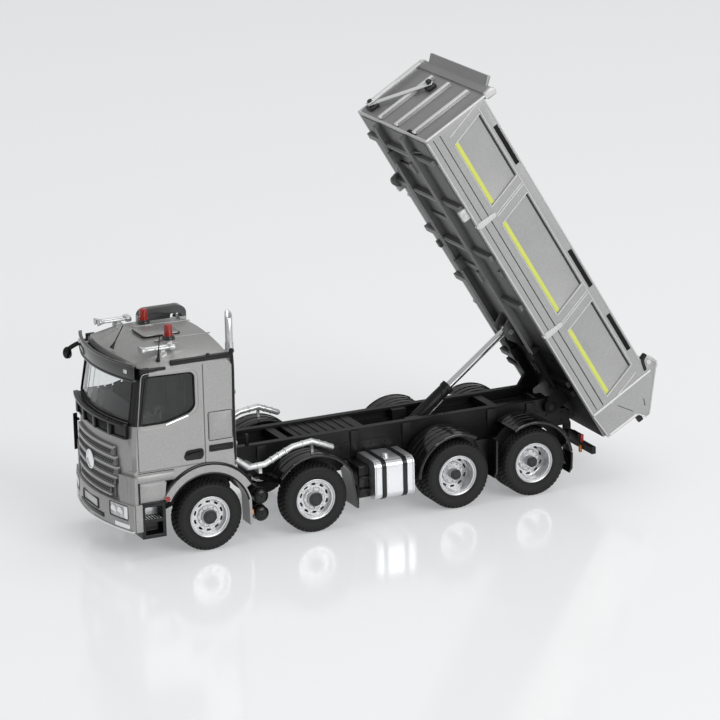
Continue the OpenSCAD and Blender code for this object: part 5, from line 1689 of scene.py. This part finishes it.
class TIPPER_OT_stage(bpy.types.Operator):
    """Floor, soft lights, room and camera"""
    bl_idname = "tipper.stage"
    bl_label = "Studio"

    def execute(self, context):
        studio = context.scene.tipper_studio
        scene = context.scene
        scene.view_settings.view_transform = "Standard"

        bm = bmesh.new()
        bmesh.ops.create_grid(bm, x_segments=2, y_segments=2, size=8)
        mesh = bpy.data.meshes.new("studio_floor")
        bm.to_mesh(mesh)
        bm.free()
        floor = bpy.data.objects.new("studio_floor", mesh)
        scene.collection.objects.link(floor)
        mesh.materials.append(floor_material())

        world = bpy.data.worlds.new("studio_room")
        world.use_nodes = True
        scene.world = world
        tree = world.node_tree
        light = tree.nodes["Background"]
        light.inputs["Color"].default_value = (1.0, 1.0, 1.0, 1)
        light.inputs["Strength"].default_value = studio.world

        def softbox(name, at, target, wide, high, power):
            data = bpy.data.lights.new(name, "AREA")
            data.shape = "RECTANGLE"
            data.size, data.size_y = wide, high
            data.energy = power
            lamp = bpy.data.objects.new(name, data)
            scene.collection.objects.link(lamp)
            at, target = Vector(at), Vector(target)
            lamp.location = at
            lamp.rotation_euler = (target - at).to_track_quat("-Z", "Y").to_euler()
        softbox("key_softbox", (-0.45, 1.5, 0.8), (0, 0, 0.05), 1.1, 0.9, studio.key)
        softbox("top_softbox", (-0.3, -0.2, 1.5), (0, 0, 0.05), 1.4, 1.2, studio.fill)

        az, el, roll = studio.azimuth, studio.elevation, studio.roll
        back = Vector((math.sin(az) * math.cos(el), math.cos(az) * math.cos(el), math.sin(el)))
        right = (-back).cross(Vector((0, 0, 1))).normalized()
        up = right.cross(-back)
        right, up = right * math.cos(roll) + up * math.sin(roll), up * math.cos(roll) - right * math.sin(roll)
        data = bpy.data.cameras.new("studio_camera")
        data.lens = studio.lens
        data.sensor_width = 36
        data.clip_start, data.clip_end = 0.05, 50
        camera = bpy.data.objects.new("studio_camera", data)
        scene.collection.objects.link(camera)
        place = Matrix((right, up, back)).transposed().to_4x4()
        place.translation = AIM + back * studio.distance
        camera.matrix_world = place
        scene.camera = camera
        return {"FINISHED"}


def floor_material():
    """Pale glossy board that takes the shadow, and glows a little where a ray meets it."""
    floor = bpy.data.materials.new("Studio board")
    floor.use_nodes = True
    tree = floor.node_tree
    surface = tree.nodes["Principled BSDF"]
    place = new_node(tree, "TexCoord").outputs["Object"]
    noise = new_node(tree, "TexNoise", Vector=place, Scale=1.3, Detail=2).outputs["Fac"]
    ramp = new_node(tree, "ValToRGB", Fac=noise)
    r, g, b = colours().floor
    ramp.color_ramp.elements[0].color = (r * 0.985, g * 0.985, b * 0.985, 1)
    ramp.color_ramp.elements[1].color = (min(1, r * 1.015), min(1, g * 1.015), min(1, b * 1.015), 1)
    tree.links.new(ramp.outputs["Color"], surface.inputs["Base Color"])
    surface.inputs["Roughness"].default_value = 0.12
    surface.inputs["Specular IOR Level"].default_value = 0.3
    rays = tree.nodes.new("ShaderNodeLightPath")
    seen = math_node(tree, "ADD", rays.outputs["Is Camera Ray"], rays.outputs["Is Glossy Ray"])
    seen = math_node(tree, "ADD", seen, rays.outputs["Is Transmission Ray"])
    once = math_node(tree, "MINIMUM", seen, 1.0)
    glow = math_node(tree, "MULTIPLY", once, bpy.context.scene.tipper_studio.board)
    tree.links.new(glow, surface.inputs["Emission Strength"])
    surface.inputs["Emission Color"].default_value = (0.97, 0.985, 1.0, 1)
    return floor


# ---------------------------------------------------------------- add-on

STEPS = [
    ("Finishes", "tipper.finishes"), ("Tyres", "tipper.tyres"), ("Wheels", "tipper.wheels"),
    ("Cab skin", "tipper.cab_skin"), ("Cab trim", "tipper.cab_trim"),
    ("Lamps and brightwork", "tipper.cab_lamps"), ("Bed skin", "tipper.bed_skin"),
    ("Bed trim", "tipper.bed_trim"), ("Chassis", "tipper.chassis"), ("Tipping cylinder", "tipper.cylinder"),
    ("Studio", "tipper.stage"),
]


class TIPPER_PT_panel(bpy.types.Panel):
    """Sizes, colours and building steps"""
    bl_idname = "TIPPER_PT_panel"
    bl_label = "Tipper truck model"
    bl_space_type = "VIEW_3D"
    bl_region_type = "UI"
    bl_category = "Tipper"

    def draw(self, context):
        for group in (context.scene.tipper_colours, context.scene.tipper_sizes, context.scene.tipper_studio):
            box = self.layout.box()
            for name in group.__annotations__:
                box.prop(group, name)
        for label, operator in STEPS:
            self.layout.operator(operator, text=label)


CLASSES = (
    TIPPER_PG_colours, TIPPER_PG_sizes, TIPPER_PG_studio, TIPPER_OT_finishes, TIPPER_OT_tyres, TIPPER_OT_wheels,
    TIPPER_OT_cab_skin, TIPPER_OT_cab_trim, TIPPER_OT_cab_lamps, TIPPER_OT_bed_skin, TIPPER_OT_bed_trim,
    TIPPER_OT_chassis, TIPPER_OT_cylinder, TIPPER_OT_stage, TIPPER_PT_panel,
)


def register():
    for cls in CLASSES:
        bpy.utils.register_class(cls)
    bpy.types.Scene.tipper_colours = PointerProperty(type=TIPPER_PG_colours)
    bpy.types.Scene.tipper_sizes = PointerProperty(type=TIPPER_PG_sizes)
    bpy.types.Scene.tipper_studio = PointerProperty(type=TIPPER_PG_studio)


def unregister():
    del bpy.types.Scene.tipper_studio
    del bpy.types.Scene.tipper_sizes
    del bpy.types.Scene.tipper_colours
    for cls in reversed(CLASSES):
        bpy.utils.unregister_class(cls)


def main():
    register()
    for _, operator in STEPS:
        group, name = operator.split(".")
        getattr(getattr(bpy.ops, group), name)()


if __name__ == "__main__":
    main()
